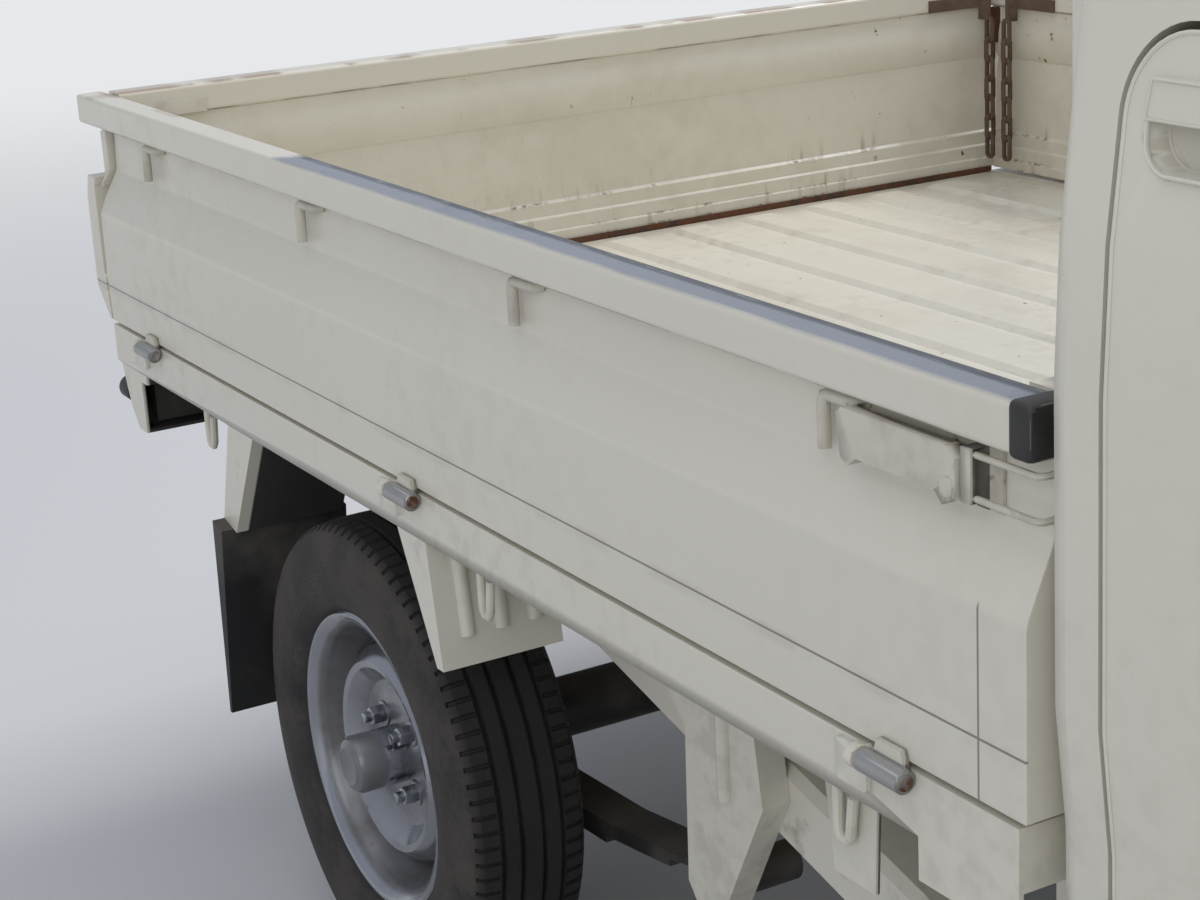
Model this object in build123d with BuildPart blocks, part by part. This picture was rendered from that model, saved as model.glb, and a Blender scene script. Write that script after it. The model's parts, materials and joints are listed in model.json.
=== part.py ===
from build123d import *
import math
import os

# A kei truck with a drop-side bed. X points forward, Y to its left, Z up.
# The origin lies on the ground under the middle of its box. Millimetres.

# Whole truck
wheelbase = 1900.0
rear_axle_x = -1001.0
front_axle_x = rear_axle_x + wheelbase
tail_reach = 698.0
nose_reach = 800.0
rear_end = rear_axle_x - tail_reach
front_end = front_axle_x + nose_reach
clearance = 6.0
seat_gap = 0.3
skin = 4.0

# Bed
bed_half = 698.0
gate_depth = 37.0
gate_outer = bed_half + gate_depth
floor_top = 646.0
floor_thickness = 6.0
gate_bottom = floor_top + 7.0
gate_height = 284.0
gate_top = gate_bottom + gate_height
rail_height = 36.0
rail_bottom = gate_top - rail_height
recess_depth = 23.0
panel_out = gate_outer - recess_depth
slope_top = rail_bottom - 56.0
slope_bottom = slope_top - 53.0
sill_height = 48.0
sill_top = gate_bottom - 5.0
sill_bottom = sill_top - sill_height
sill_inner = bed_half - clearance
tailgate_depth = 43.0
tailgate_inner = rear_end + tailgate_depth
gate_rear = tailgate_inner + clearance
cab_reach = 748.0
cab_rear = front_axle_x - cab_reach
gate_front = cab_rear - 11.0
board_depth = 36.0
headboard_front = cab_rear - 18.0
headboard_rear = headboard_front - board_depth

# Gate hinges and hooks
hinge_height = gate_bottom - 10.0
hinge_radius = 9.0
pin_radius = 5.0
hinge_out = gate_outer + 10.0
hook_count = 4
hook_radius = 5.3

# Frame
frame_rail_width = 70.0
frame_rail_height = 82.0
rear_rail_y = bed_half - 173.0
front_rail_y = rear_rail_y - 170.0

# Wheels and axles
tyre_radius = 270.0
tyre_width = 145.0
rim_radius = 167.0
rim_width = 120.0
wheel_sides = 28
half_track = bed_half - 48.0
axle_height = tyre_radius
drum_radius = 100.0
mount_face = 15.0
spindle_radius = 20.0
spindle_gap = 0.5
spindle_reach = half_track + mount_face + 25.0
kingpin_y = half_track - 105.0
strut_radius = 22.0

# Cab
cab_half = bed_half + 40.0
cab_wall = 45.0
cab_bottom = 330.0
belt_height = 1190.0
roof_height = 1790.0
screen_foot = (front_axle_x + 631.0, belt_height - 141.0)
screen_head = (front_axle_x + 251.0, roof_height - 90.0)
arch_radius = tyre_radius + 75.0
arch_inner = half_track - 245.0
door_rear = cab_rear + 64.0
door_front = front_axle_x + 311.0
door_bottom = cab_bottom + 70.0
door_gap = 6.0
glass_depth = 18.0
glass_thickness = 5.0
bumper_top = 545.0
bumper_bottom = 285.0
bumper_rear = door_front + 30.0

# Seats and steering
platform_top = 660.0
seat_y = cab_half - 398.0
seat_width = 490.0
steering_centre = (front_axle_x + 61.0, -seat_y + 10.0, 1000.0)
steering_radius = 185.0
column_direction = (-0.643, 0.0, 0.766)


def outline(plane, points, radius=0.0):
    """A flat face in the plane's own two directions, its corners rounded if asked."""
    with BuildSketch(plane) as sketch:
        with BuildLine():
            if radius:
                FilletPolyline(*points, radius=radius, close=True)
            else:
                Polyline(*points, close=True)
        make_face()
    return sketch.sketch


def slab_x(points, low, high, mode=Mode.ADD, radius=0.0):
    """An outline in Y and Z, given length along X."""
    extrude(outline(Plane.YZ.offset(low), points, radius), amount=high - low, mode=mode)


def slab_y(points, low, high, mode=Mode.ADD, radius=0.0):
    """An outline in X and Z, given length along Y."""
    extrude(outline(Plane.XZ.offset(-high), points, radius), amount=high - low, mode=mode)


def slab_z(points, low, high, mode=Mode.ADD, radius=0.0):
    """An outline in X and Y, given height."""
    extrude(outline(Plane.XY.offset(low), points, radius), amount=high - low, mode=mode)


def block(x_low, x_high, y_low, y_high, z_low, z_high, mode=Mode.ADD, radius=0.0):
    """A box between two corners, its upright edges rounded if asked."""
    corners = ((x_low, y_low), (x_high, y_low), (x_high, y_high), (x_low, y_high))
    slab_z(corners, z_low, z_high, mode, radius)


def rod(start, end, radius, mode=Mode.ADD):
    """A round bar between two points."""
    run = Vector(*end) - Vector(*start)
    with BuildSketch(Plane(origin=start, z_dir=run.normalized())) as end_face:
        Circle(radius)
    extrude(end_face.sketch, amount=run.length, mode=mode)


def many_faced(rings, closed=False, mode=Mode.ADD):
    """A solid of flat faces through rings of points; a closed one has no ends, as a hoop."""
    pairs = list(zip(rings, rings[1:]))
    faces = []
    if closed:
        pairs.append((rings[-1], rings[0]))
    else:
        faces = [Face(Wire.make_polygon(ring)) for ring in (rings[0], rings[-1])]
    for near, far in pairs:
        for count in range(len(near)):
            after = (count + 1) % len(near)
            a, b, c, d = near[count], near[after], far[after], far[count]
            twist = abs((b - a).cross(c - a).normalized().dot(d - a))
            for corners in ((a, b, c, d),) if twist < 1e-6 else ((a, b, c), (a, c, d)):
                faces.append(Face(Wire.make_polygon(corners)))
    add(Solid(Shell(faces)), mode=mode)


def turned(plane, profile, sides=wheel_sides, closed=False, mode=Mode.ADD):
    """A many-sided turned form from a profile of (distance along the axis, radius)."""
    rings = []
    for along, radius in profile:
        turns = [2 * math.pi * count / sides for count in range(sides)]
        corners = [(radius * math.sin(turn), radius * math.cos(turn), along) for turn in turns]
        rings.append([plane.from_local_coords(Vector(*corner)) for corner in corners])
    many_faced(rings, closed, mode)


def tube(points, radius, bend, sides=8, mode=Mode.ADD):
    """A many-sided bar along straight runs, each corner taken in two steps from a bend's start to its end."""
    runs = [Vector(*point) for point in points]
    route = [runs[0]]
    for before, corner, after in zip(runs, runs[1:], runs[2:]):
        start = (before - corner).normalized() * bend
        end = (after - corner).normalized() * bend
        route += [corner + start, corner + (start + end) * 0.27, corner + end]
    route.append(runs[-1])
    ahead = [(b - a).normalized() for a, b in zip(route, route[1:])]
    first = Plane(origin=route[0], z_dir=ahead[0])
    turns = [2 * math.pi * (count + 0.5) / sides for count in range(sides)]
    ring = [
        first.from_local_coords(Vector(radius * math.cos(turn), radius * math.sin(turn), 0.0)) for turn in turns
    ]
    rings = [ring]
    for place, arriving, leaving in zip(route[1:], ahead, ahead[1:] + ahead[-1:]):
        mitre = (arriving + leaving).normalized()
        ring = [point + arriving * ((place - point).dot(mitre) / arriving.dot(mitre)) for point in ring]
        rings.append(ring)
    many_faced(rings, mode=mode)


def both_sides(y_low, y_high):
    """The same stretch of Y on the right and on the left."""
    return ((-y_high, -y_low), (y_low, y_high))


def save(piece, name):
    """Name a finished piece and write it out."""
    piece.part.label = name
    export_step(piece.part, f"parts/{name}.step")


def save_pair(piece, name):
    """Write a piece of the right side, and its mirror image for the left."""
    save(piece, f"{name}_right")
    with BuildPart() as twin:
        mirror(piece.part, about=Plane.XZ)
    save(twin, f"{name}_left")


os.makedirs("parts", exist_ok=True)

# Frame: two rails that kick up over the rear axle and draw in under the cab
rear_sill_x = tailgate_inner + 22.0
panel_front = rear_sill_x + 89.0
rail_path = (
    # X, distance from the centre line, height of the middle
    (panel_front + seat_gap, rear_rail_y, sill_bottom - 55.0),
    (rear_axle_x + 151.0, rear_rail_y, sill_bottom - 85.0),
    (cab_rear - 301.0, rear_rail_y, 340.0),
    (cab_rear + 179.0, front_rail_y, 340.0),
    (front_end - 199.0, front_rail_y, 340.0),
)
crossmember_x = (
    rail_path[0][0] + 35.0,
    rear_axle_x - 189.0,
    rear_axle_x + 361.0,
    front_axle_x - 199.0,
    front_axle_x + 281.0,
    rail_path[-1][0] - 30.0,
)
crossmember_radius = 29.0


def rail_at(x):
    """Where the middle of a rail lies at a place along the truck."""
    for (x0, y0, z0), (x1, y1, z1) in zip(rail_path, rail_path[1:]):
        if x0 <= x <= x1:
            share = (x - x0) / (x1 - x0)
            return y0 + share * (y1 - y0), z0 + share * (z1 - z0)
    raise ValueError("no rail there")


with BuildPart() as frame:
    for side in (-1, 1):
        rings = []
        for x, y, z in rail_path:
            across, up, edge = frame_rail_width / 2, frame_rail_height / 2, 9.0
            section = (
                (across, up - edge),
                (across - edge, up),
                (edge - across, up),
                (-across, up - edge),
                (-across, edge - up),
                (edge - across, -up),
                (across - edge, -up),
                (across, edge - up),
            )
            rings.append([Vector(x, side * y + out, z + rise) for out, rise in section])
        many_faced(rings)
    for x in crossmember_x:
        y, z = rail_at(x)
        rod((x, -y, z), (x, y, z), crossmember_radius)
save(frame, "frame")

# Bed floor: a thin deck, its pressed ribs running out in ramps at both ends
rib_pitch = 115.0
rib_count = 11
rib_foot = 64.0
rib_height = 6.0
rib_ramp = 10.0
rib_rear = gate_rear + 30.0
rib_front = headboard_rear - 37.0
with BuildPart() as bed_floor:
    block(
        gate_rear,
        headboard_rear - seat_gap,
        -sill_inner,
        sill_inner,
        floor_top - floor_thickness,
        floor_top,
    )
    for count in range(rib_count):
        middle = ((rib_rear + rib_front) / 2, (count - (rib_count - 1) / 2) * rib_pitch)
        rib_faces = []
        for height, margin in ((0.0, 0.0), (rib_height, rib_ramp)):
            with BuildSketch(Plane.XY.offset(floor_top + height)) as rib_face:
                with Locations(middle):
                    Rectangle(rib_front - rib_rear - 2 * margin, rib_foot - 2 * margin)
            rib_faces.append(rib_face.sketch)
        loft(rib_faces, ruled=True)
save(bed_floor, "bed_floor")

# Bed frame under the floor: pressed sills, cross channels, stands on the frame and hinge lugs
channel_x = (
    gate_rear + 150.0,
    rear_axle_x - 269.0,
    rear_axle_x + 271.0,
    rear_axle_x + 571.0,
    headboard_rear - 157.0,
)
channel_half = 22.0
channel_top = floor_top - floor_thickness - seat_gap
stand_half = 25.0
hinge_share = (0.0, 0.48, 1.0)
side_hinge_rear = rear_end + 178.0
side_hinge_front = gate_front - 164.0
side_hinge_x = [side_hinge_rear + share * (side_hinge_front - side_hinge_rear) for share in hinge_share]
lug_length = 42.0
lug_gap = 4.0
tail_hinge_x = rear_end + 9.0
tail_hinge_z = hinge_height - 2.0
tail_hinge_y = bed_half - 138.0
tail_hinge_half = 24.0


def sill_section(side):
    """The side sill's pressed channel, open to the inside of the bed."""
    return [
        (side * y, z)
        for y, z in (
            (gate_outer, sill_bottom),
            (gate_outer, sill_top),
            (sill_inner, sill_top),
            (sill_inner, sill_top - skin),
            (gate_outer - skin, sill_top - skin),
            (gate_outer - skin, sill_bottom + skin),
            (sill_inner, sill_bottom + skin),
            (sill_inner, sill_bottom),
        )
    ]


with BuildPart() as bed_sills:
    for side in (-1, 1):
        slab_x(sill_section(side), gate_rear, headboard_front)
    block(rear_sill_x, rear_sill_x + 30.0, -gate_outer, gate_outer, sill_bottom, channel_top)
    block(headboard_rear, headboard_front, -gate_outer, gate_outer, sill_bottom, sill_top)
    for x in channel_x:
        channel_section = (
            (x - channel_half, sill_bottom),
            (x - channel_half, channel_top),
            (x + channel_half, channel_top),
            (x + channel_half, sill_bottom),
            (x + channel_half - skin, sill_bottom),
            (x + channel_half - skin, channel_top - skin),
            (x - channel_half + skin, channel_top - skin),
            (x - channel_half + skin, sill_bottom),
        )
        slab_y(channel_section, -gate_outer + skin / 2, gate_outer - skin / 2)
        rail_y = rail_at(x)[0]
        stand_low = max(rail_at(x - channel_half)[1], rail_at(x + channel_half)[1])
        stand_low += frame_rail_height / 2 + seat_gap
        for low, high in both_sides(rail_y - stand_half, rail_y + stand_half):
            block(x - channel_half, x + channel_half, low, high, stand_low, sill_bottom + skin)
    for side in (-1, 1):
        for x in side_hinge_x:
            # flat lug on the sill behind each barrel, rounded about the pin
            lug = (
                (x - lug_length, hinge_height - 30.0),
                (x - lug_gap, hinge_height - 30.0),
                (x - lug_gap, hinge_height + hinge_radius - 1.0),
                (x - lug_length, hinge_height + 2.0),
            )
            y_low, y_high = sorted((side * (gate_outer - 1.0), side * (gate_outer + 5.0)))
            slab_y(lug, y_low, y_high, radius=3.0)
            rod(
                (x - lug_gap - 8.0, side * hinge_out, hinge_height),
                (x - lug_gap, side * hinge_out, hinge_height),
                hinge_radius,
            )
        skirt_x = (cab_rear - 126.0, headboard_front)
        y_low, y_high = sorted((side * (gate_outer - skin), side * gate_outer))
        block(*skirt_x, y_low, y_high, sill_bottom - 34.0, sill_bottom + 1.0)
        stay_x = headboard_rear - 202.0
        y_low, y_high = sorted((side * (gate_outer - 39.0), side * (gate_outer - 35.0)))
        stay = (
            (stay_x - 36.0, sill_bottom + 1.0),
            (stay_x + 36.0, sill_bottom + 1.0),
            (stay_x + 30.0, sill_bottom - 100.0),
            (stay_x - 22.0, sill_bottom - 100.0),
        )
        slab_y(stay, y_low, y_high)
    for y in (-tail_hinge_y, 0.0, tail_hinge_y):
        # two ears of the rear sill hold each pin of the tailgate
        for side in (-1, 1):
            y_low, y_high = sorted((y + side * (tail_hinge_half + 2.0), y + side * (tail_hinge_half + 9.0)))
            ear = (
                (tail_hinge_x - 8.0, tail_hinge_z - 8.0),
                (rear_sill_x + 1.0, sill_bottom + 12.0),
                (rear_sill_x + 1.0, channel_top - 1.0),
                (gate_rear - 4.0, channel_top - 1.0),
                (tail_hinge_x + 6.0, tail_hinge_z + 8.0),
                (tail_hinge_x - 8.0, tail_hinge_z + 8.0),
            )
            slab_y(ear, y_low, y_high)
            pin_from, pin_to = sorted((y + side * (tail_hinge_half + seat_gap), y + side * (tail_hinge_half + 3.0)))
            rod((tail_hinge_x, pin_from, tail_hinge_z), (tail_hinge_x, pin_to, tail_hinge_z), pin_radius)
save(bed_sills, "bed_sills")

# Drop gates: outside a hollow under the rail, a slope and a flat panel, inside a round bead,
# a flat panel and a stepped foot
bead_top = rail_bottom - 17.0
bead_middle = rail_bottom - 40.0
bead_bottom = rail_bottom - 77.0


def gate_section(plane, inner, outward, outer_points, radii):
    """A gate's section below its rail, from points of (distance outwards, height)."""
    foot_steps = (
        # distance outwards, height
        (0.0, gate_bottom),
        (0.0, gate_bottom + 14.0),
        (2.0, gate_bottom + 16.0),
        (2.0, gate_bottom + 34.0),
        (5.0, gate_bottom + 37.0),
        (5.0, gate_bottom + 54.0),
        (9.0, gate_bottom + 58.0),
        (9.0, bead_bottom),
        (7.0, bead_bottom + 2.0),
    )
    with BuildSketch(plane) as section:
        with BuildLine():
            inside = [(inner + outward * out, z) for out, z in foot_steps]
            outside = [(inner + outward * out, z) for out, z in outer_points]
            bead_end = (inner + outward * 4.0, bead_top)
            Polyline(*inside)
            ThreePointArc(inside[-1], (inner + outward * 0.5, bead_middle), bead_end)
            Polyline(bead_end, (inner + outward * 4.0, rail_bottom), outside[-1])
            FilletPolyline(*outside, radius=radii)
            Line(outside[0], inside[0])
        make_face()
    return section.sketch


side_outer_points = (
    # distance outwards from the inner face, height
    (gate_depth, gate_bottom),
    (gate_depth, slope_bottom),
    (gate_depth - recess_depth, slope_top),
    (gate_depth - recess_depth, rail_bottom),
)
rear_edge = (
    # X, Z of the side gates' rear edge, past the end of the tailgate
    (rear_end - 5.0, gate_bottom - 5.0),
    (gate_rear, gate_bottom - 5.0),
    (gate_rear - 5.0, gate_bottom + 61.0),
    (gate_rear, slope_bottom + 22.0),
    (gate_rear + 12.0, slope_top + 7.0),
    (gate_rear + 18.0, rail_bottom + 5.0),
    (rear_end - 5.0, rail_bottom + 5.0),
)
with BuildPart() as gate:
    face = gate_section(Plane.YZ.offset(rear_end), -bed_half, -1, side_outer_points, (22.0, 18.0))
    extrude(face, amount=gate_front - rear_end)
    slab_y(rear_edge, -gate_outer - 5.0, -bed_half + 5.0, Mode.SUBTRACT)
save_pair(gate, "gate")

# Box rails along the tops of the side gates, with a rubber cap on the front end
cap_length = 22.0
side_rail_out = gate_outer - 1.0
with BuildPart() as gate_rail:
    rail_section = (
        (-side_rail_out, rail_bottom),
        (-bed_half, rail_bottom),
        (-bed_half, gate_top),
        (-side_rail_out, gate_top),
    )
    slab_x(rail_section, rear_end + 2.0, gate_front - cap_length + 5.0, radius=5.0)
    slab_x(rail_section, gate_front - cap_length + 5.0, gate_front + 3.0, radius=9.0)
save_pair(gate_rail, "gate_rail")

# Fittings of the side gates: rope hooks, hinge barrels, front latch and chain bracket
hook_rear = rear_end + 206.0
hook_front = gate_front - 235.0
hook_low = slope_top + 7.0
hook_high = rail_bottom - 8.0
hook_arm = 40.0
hook_out = panel_out + hook_radius + 4.0
barrel_length = 48.0
barrel_leaf = 19.0
wire_radius = 2.5
bail_x = gate_front + wire_radius + 0.4
bail_out = panel_out + 14.0
bail_in = bed_half - 10.0
bail_high = rail_bottom - 11.0
bail_low = rail_bottom - 41.0
lever_rear = gate_front - 206.0
lever_front = gate_front - 74.0
lever_low = slope_top + 5.0
lever_high = rail_bottom - 9.0
link_length = 40.0
link_width = 18.0
link_wire = 5.0
link_pitch = link_length - 2 * link_wire - 0.5


def link_outline(centre, half_length, half_width):
    """An eight-sided ring outline of a chain link, long along Z."""
    across, up = centre
    cut = min(half_width, half_length) * 0.6
    return (
        (across - half_width, up - half_length + cut),
        (across - half_width + cut, up - half_length),
        (across + half_width - cut, up - half_length),
        (across + half_width, up - half_length + cut),
        (across + half_width, up + half_length - cut),
        (across + half_width - cut, up + half_length),
        (across - half_width + cut, up + half_length),
        (across - half_width, up + half_length - cut),
    )


def chain(x, y, top, links):
    """A hanging strand: links turned a quarter against each other."""
    for count in range(links):
        z = top - link_length / 2 - count * link_pitch
        along = (y, x) if count % 2 else (x, y)
        slab = slab_x if count % 2 else slab_y
        centre = (along[0], z)
        low = along[1] - link_wire / 2
        with BuildPart(mode=Mode.PRIVATE) as link:
            slab(link_outline(centre, link_length / 2, link_width / 2), low, low + link_wire)
            hole = link_outline(centre, link_length / 2 - link_wire, link_width / 2 - link_wire)
            slab(hole, low, low + link_wire, Mode.SUBTRACT)
        add(link.part)


chain_links = 7
chain_top = rail_bottom - 12.0
chain_y = bed_half - 22.0
side_chain_x = gate_rear + 60.0
strap_low = rail_bottom + 1.0
strap_high = rail_bottom + 19.0
with BuildPart() as gate_fittings:
    for count in range(hook_count):
        x = hook_rear + count * (hook_front - hook_rear) / (hook_count - 1)
        hook_route = (
            (x, -hook_out, hook_low),
            (x, -hook_out, hook_high),
            (x + hook_arm, -hook_out, hook_high),
            (x + hook_arm, -panel_out - seat_gap, hook_high),
        )
        tube(hook_route, hook_radius, 8.0)
    for x in side_hinge_x:
        rod((x, -hinge_out, hinge_height), (x + barrel_length, -hinge_out, hinge_height), hinge_radius)
        rod((x - lug_gap + seat_gap, -hinge_out, hinge_height), (x + 1.0, -hinge_out, hinge_height), pin_radius)
        leaf = (
            (x + 4.0, hinge_height),
            (x + barrel_length - 4.0, hinge_height),
            (x + barrel_length - 10.0, hinge_height + barrel_leaf),
            (x + 10.0, hinge_height + barrel_leaf),
        )
        slab_y(leaf, -gate_outer - 6.0, -gate_outer - seat_gap)
    lever = (
        # X, Z round the pressed lever of the latch
        (lever_rear, lever_high - 4.0),
        (lever_rear + 4.0, lever_low + 6.0),
        (lever_rear + 12.0, lever_low),
        (lever_rear + 22.0, lever_low + 8.0),
        (lever_front - 22.0, lever_low + 8.0),
        (lever_front - 14.0, lever_low),
        (lever_front, lever_low + 6.0),
        (lever_front, lever_high - 8.0),
        (lever_front - 10.0, lever_high),
        (lever_rear + 6.0, lever_high),
    )
    slab_y(lever, -panel_out - 20.0, -panel_out - 9.0, radius=3.0)
    block(lever_front - 30.0, lever_front + 28.0, -panel_out - 3.0, -panel_out - seat_gap, lever_low, lever_high + 4.0)
    block(lever_front + 3.0, lever_front + 13.0, -bail_out - 4.0, -panel_out - 2.0, bail_low - 4.0, bail_high + 4.0)
    rod(
        (lever_front - 8.0, -panel_out - 22.0, lever_low + 14.0),
        (lever_front - 8.0, -panel_out - 2.0, lever_low + 14.0),
        7.0,
    )
    bail_route = (
        (lever_front + 8.0, -bail_out, bail_high),
        (bail_x, -bail_out, bail_high),
        (bail_x, -bail_in, bail_high),
        (bail_x, -bail_in, bail_low),
        (bail_x, -bail_out, bail_low),
        (lever_front + 8.0, -bail_out, bail_low),
    )
    tube(bail_route, wire_radius, 5.0, 6)
    block(side_chain_x - 18.0, side_chain_x + 85.0, -bed_half + seat_gap, -bed_half + 4.3, strap_low, strap_high)
    block(side_chain_x - 3.0, side_chain_x + 3.0, -chain_y, -bed_half + 3.0, chain_top - 5.0, strap_high)
    chain(side_chain_x, -chain_y, chain_top, chain_links)
save_pair(gate_fittings, "gate_fittings")

# Tailgate: the same section across the rear, its foot tapered in to the hinge
tail_rail_half = bed_half - clearance
tail_end_top = rail_bottom - 12.0
tail_outer_points = (
    # distance outwards from the inner face, height
    (4.0, gate_bottom),
    (tailgate_depth - 4.0, gate_bottom + 35.0),
    (tailgate_depth - 1.0, gate_bottom + 47.0),
    (tailgate_depth - 1.0, slope_bottom + 14.0),
    (tailgate_depth - 12.0, slope_top - 9.0),
    (tailgate_depth - 12.0, rail_bottom),
)
with BuildPart() as tailgate:
    face = gate_section(
        Plane.XZ.offset(-gate_outer), tailgate_inner, -1, tail_outer_points, (8.0, 8.0, 18.0, 14.0)
    )
    extrude(face, amount=2 * gate_outer)
    for low, high in both_sides(tail_rail_half, gate_outer + 5.0):
        block(rear_end - 5.0, tailgate_inner + 5.0, low, high, tail_end_top, gate_top, Mode.SUBTRACT)
    for low, high in both_sides(panel_out, gate_outer + 5.0):
        block(rear_end - 5.0, tailgate_inner + 5.0, low, high, slope_top - 9.0, gate_top, Mode.SUBTRACT)
save(tailgate, "tailgate")

with BuildPart() as tailgate_rail:
    rear_rail_section = (
        (rear_end + 2.0, rail_bottom),
        (tailgate_inner, rail_bottom),
        (tailgate_inner, gate_top),
        (rear_end + 2.0, gate_top),
    )
    slab_y(rear_rail_section, -tail_rail_half, tail_rail_half, radius=5.0)
save(tailgate_rail, "tailgate_rail")

tail_chain_x = tailgate_inner + 26.0
with BuildPart() as tailgate_fittings:
    for y in (-tail_hinge_y, 0.0, tail_hinge_y):
        rod((tail_hinge_x, y - tail_hinge_half, tail_hinge_z), (tail_hinge_x, y + tail_hinge_half, tail_hinge_z), hinge_radius)
        leaf = (
            (tail_hinge_x, tail_hinge_z - 5.0),
            (tailgate_inner - 1.0, gate_bottom - 5.0),
            (tailgate_inner - 1.0, gate_bottom - seat_gap),
            (tail_hinge_x, tail_hinge_z + 5.0),
        )
        slab_y(leaf, y - tail_hinge_half, y + tail_hinge_half)
    for low, high in both_sides(chain_y - 96.0, chain_y + 5.0):
        block(tailgate_inner + seat_gap, tailgate_inner + 4.3, low, high, strap_low, strap_high)
    for low, high in both_sides(chain_y - 3.0, chain_y + 3.0):
        block(tailgate_inner + 3.0, tail_chain_x, low, high, chain_top - 5.0, strap_high)
    for side in (-1, 1):
        chain(tail_chain_x, side * chain_y, chain_top, chain_links)
save(tailgate_fittings, "tailgate_fittings")

# Headboard with the tube guard for the rear window
guard_top = roof_height - 215.0
guard_radius = 15.0
guard_half = bed_half - 40.0
guard_x = headboard_rear + board_depth / 2
board_half = bed_half - 2.0
board_outer_points = (
    (board_depth - 6.0, gate_bottom),
    (board_depth - 6.0, slope_bottom),
    (board_depth - 12.0, slope_top),
    (board_depth - 12.0, rail_bottom),
)
with BuildPart() as headboard:
    face = gate_section(Plane.XZ.offset(-board_half), headboard_rear, 1, board_outer_points, (12.0, 12.0))
    extrude(face, amount=2 * board_half)
    block(headboard_rear, headboard_front, -board_half, board_half, rail_bottom - 1.0, gate_top)
    for low, high in both_sides(guard_half - 22.0, guard_half + 22.0):
        block(headboard_rear + 4.0, headboard_rear + 20.0, low, high, sill_top + seat_gap, gate_bottom + 5.0)
    guard_route = (
        (guard_x, -guard_half, gate_top - 1.0),
        (guard_x, -guard_half, guard_top),
        (guard_x, guard_half, guard_top),
        (guard_x, guard_half, gate_top - 1.0),
    )
    tube(guard_route, guard_radius, 70.0, 12)
    for share in (0.3, 0.6):
        z = gate_top + share * (guard_top - gate_top)
        tube(((guard_x, -guard_half, z), (guard_x, guard_half, z)), 10.0, 0.0)
    for share in (-0.5, 0.0, 0.5):
        tube(((guard_x, share * guard_half, gate_top - 1.0), (guard_x, share * guard_half, guard_top)), 9.0, 0.0)
save(headboard, "headboard")

# Rear panel under the tailgate, drawn in to its lower edge, with pockets for the lamps
panel_bottom = sill_bottom - 79.0
rear_profile = (
    # X, Z down the outer face, then back up the front edge
    (rear_sill_x, sill_bottom - seat_gap),
    (rear_sill_x + 10.0, sill_bottom - 30.0),
    (rear_sill_x + 20.0, sill_bottom - 52.0),
    (rear_sill_x + 41.0, panel_bottom),
    (panel_front, panel_bottom),
    (panel_front, sill_bottom - seat_gap),
)
lamp_depth = 50.0
lamp_inner = gate_outer - 205.0
lamp_outer = gate_outer - 25.0
lamp_low = sill_bottom - 66.0
lamp_high = sill_bottom - 8.0


def rear_form(inset):
    """The lower rear panel's form, set in all round by a distance."""
    with BuildPart() as form:
        with BuildSketch(Plane.XZ.offset(-gate_outer + inset)) as section:
            with BuildLine():
                Polyline(*rear_profile, close=True)
            make_face()
            if inset:
                offset(amount=-inset, kind=Kind.INTERSECTION)
        extrude(section.sketch, amount=2 * (gate_outer - inset))
    return form.part


with BuildPart() as rear_panel:
    add(rear_form(0.0))
    add(rear_form(skin), mode=Mode.SUBTRACT)
    block(panel_front - 20.0, panel_front + 5.0, -gate_outer - 5.0, gate_outer + 5.0, 0.0, sill_bottom - 12.0, Mode.SUBTRACT)
    for low, high in both_sides(lamp_inner, lamp_outer):
        housing = (rear_sill_x + 14.0, rear_sill_x + lamp_depth + skin, low - skin, high + skin)
        block(*housing, lamp_low - skin, lamp_high + skin)
        block(rear_end, rear_sill_x + lamp_depth, low, high, lamp_low, lamp_high, Mode.SUBTRACT)
    for low, high in both_sides(190.0, 200.0):
        block(rear_sill_x, rear_sill_x + 24.0, low, high, sill_bottom - 40.0, sill_bottom - 20.0, Mode.SUBTRACT)
save(rear_panel, "rear_panel")

with BuildPart() as rear_lamps:
    for low, high in both_sides(lamp_inner + seat_gap, lamp_outer - seat_gap):
        lamp_form = (
            (rear_sill_x - 4.0, lamp_high - seat_gap),
            (rear_sill_x + 22.0, lamp_low + seat_gap),
            (rear_sill_x + lamp_depth - seat_gap, lamp_low + seat_gap),
            (rear_sill_x + lamp_depth - seat_gap, lamp_high - seat_gap),
        )
        slab_y(lamp_form, low, high)
save(rear_lamps, "rear_lamps")

# Rear wheel arches: a bracket behind and a ribbed panel before each wheel
guard_inner = half_track - 50.0
arch_rear_x = rear_axle_x - 195.0
arch_front_x = rear_axle_x + 184.0
with BuildPart() as wheel_guards:
    for side in (-1, 1):
        y_low, y_high = sorted((side * guard_inner, side * gate_outer))
        rear_bracket = (
            (arch_rear_x - 74.0, sill_bottom - seat_gap),
            (arch_rear_x, sill_bottom - seat_gap),
            (arch_rear_x - 82.0, sill_bottom - 134.0),
            (arch_rear_x - 119.0, sill_bottom - 125.0),
        )
        slab_y(rear_bracket, y_low, y_high)
        front_panel = (
            (arch_front_x, sill_bottom - seat_gap),
            (arch_front_x + 63.0, sill_bottom - seat_gap),
            (arch_front_x + 82.0, sill_bottom - 130.0),
            (arch_front_x + 68.0, sill_bottom - 130.0),
        )
        slab_y(front_panel, y_low, y_high)
        for inward in (32.0, 70.0, 108.0):
            rib_y = side * (gate_outer - inward)
            rod((arch_front_x + 63.0, rib_y, sill_bottom - 4.0), (arch_front_x + 76.0, rib_y, sill_bottom - 100.0), 8.0)
save(wheel_guards, "wheel_guards")

with BuildPart() as mudflaps:
    for low, high in both_sides(guard_inner - 10.0, gate_outer + 15.0):
        flap = (
            (arch_rear_x - 119.3, sill_bottom - 125.3),
            (arch_rear_x - 92.0, sill_bottom - 132.0),
            (arch_rear_x - 122.0, 227.0),
            (arch_rear_x - 128.0, 227.0),
        )
        slab_y(flap, low, high)
save(mudflaps, "mudflaps")

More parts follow.
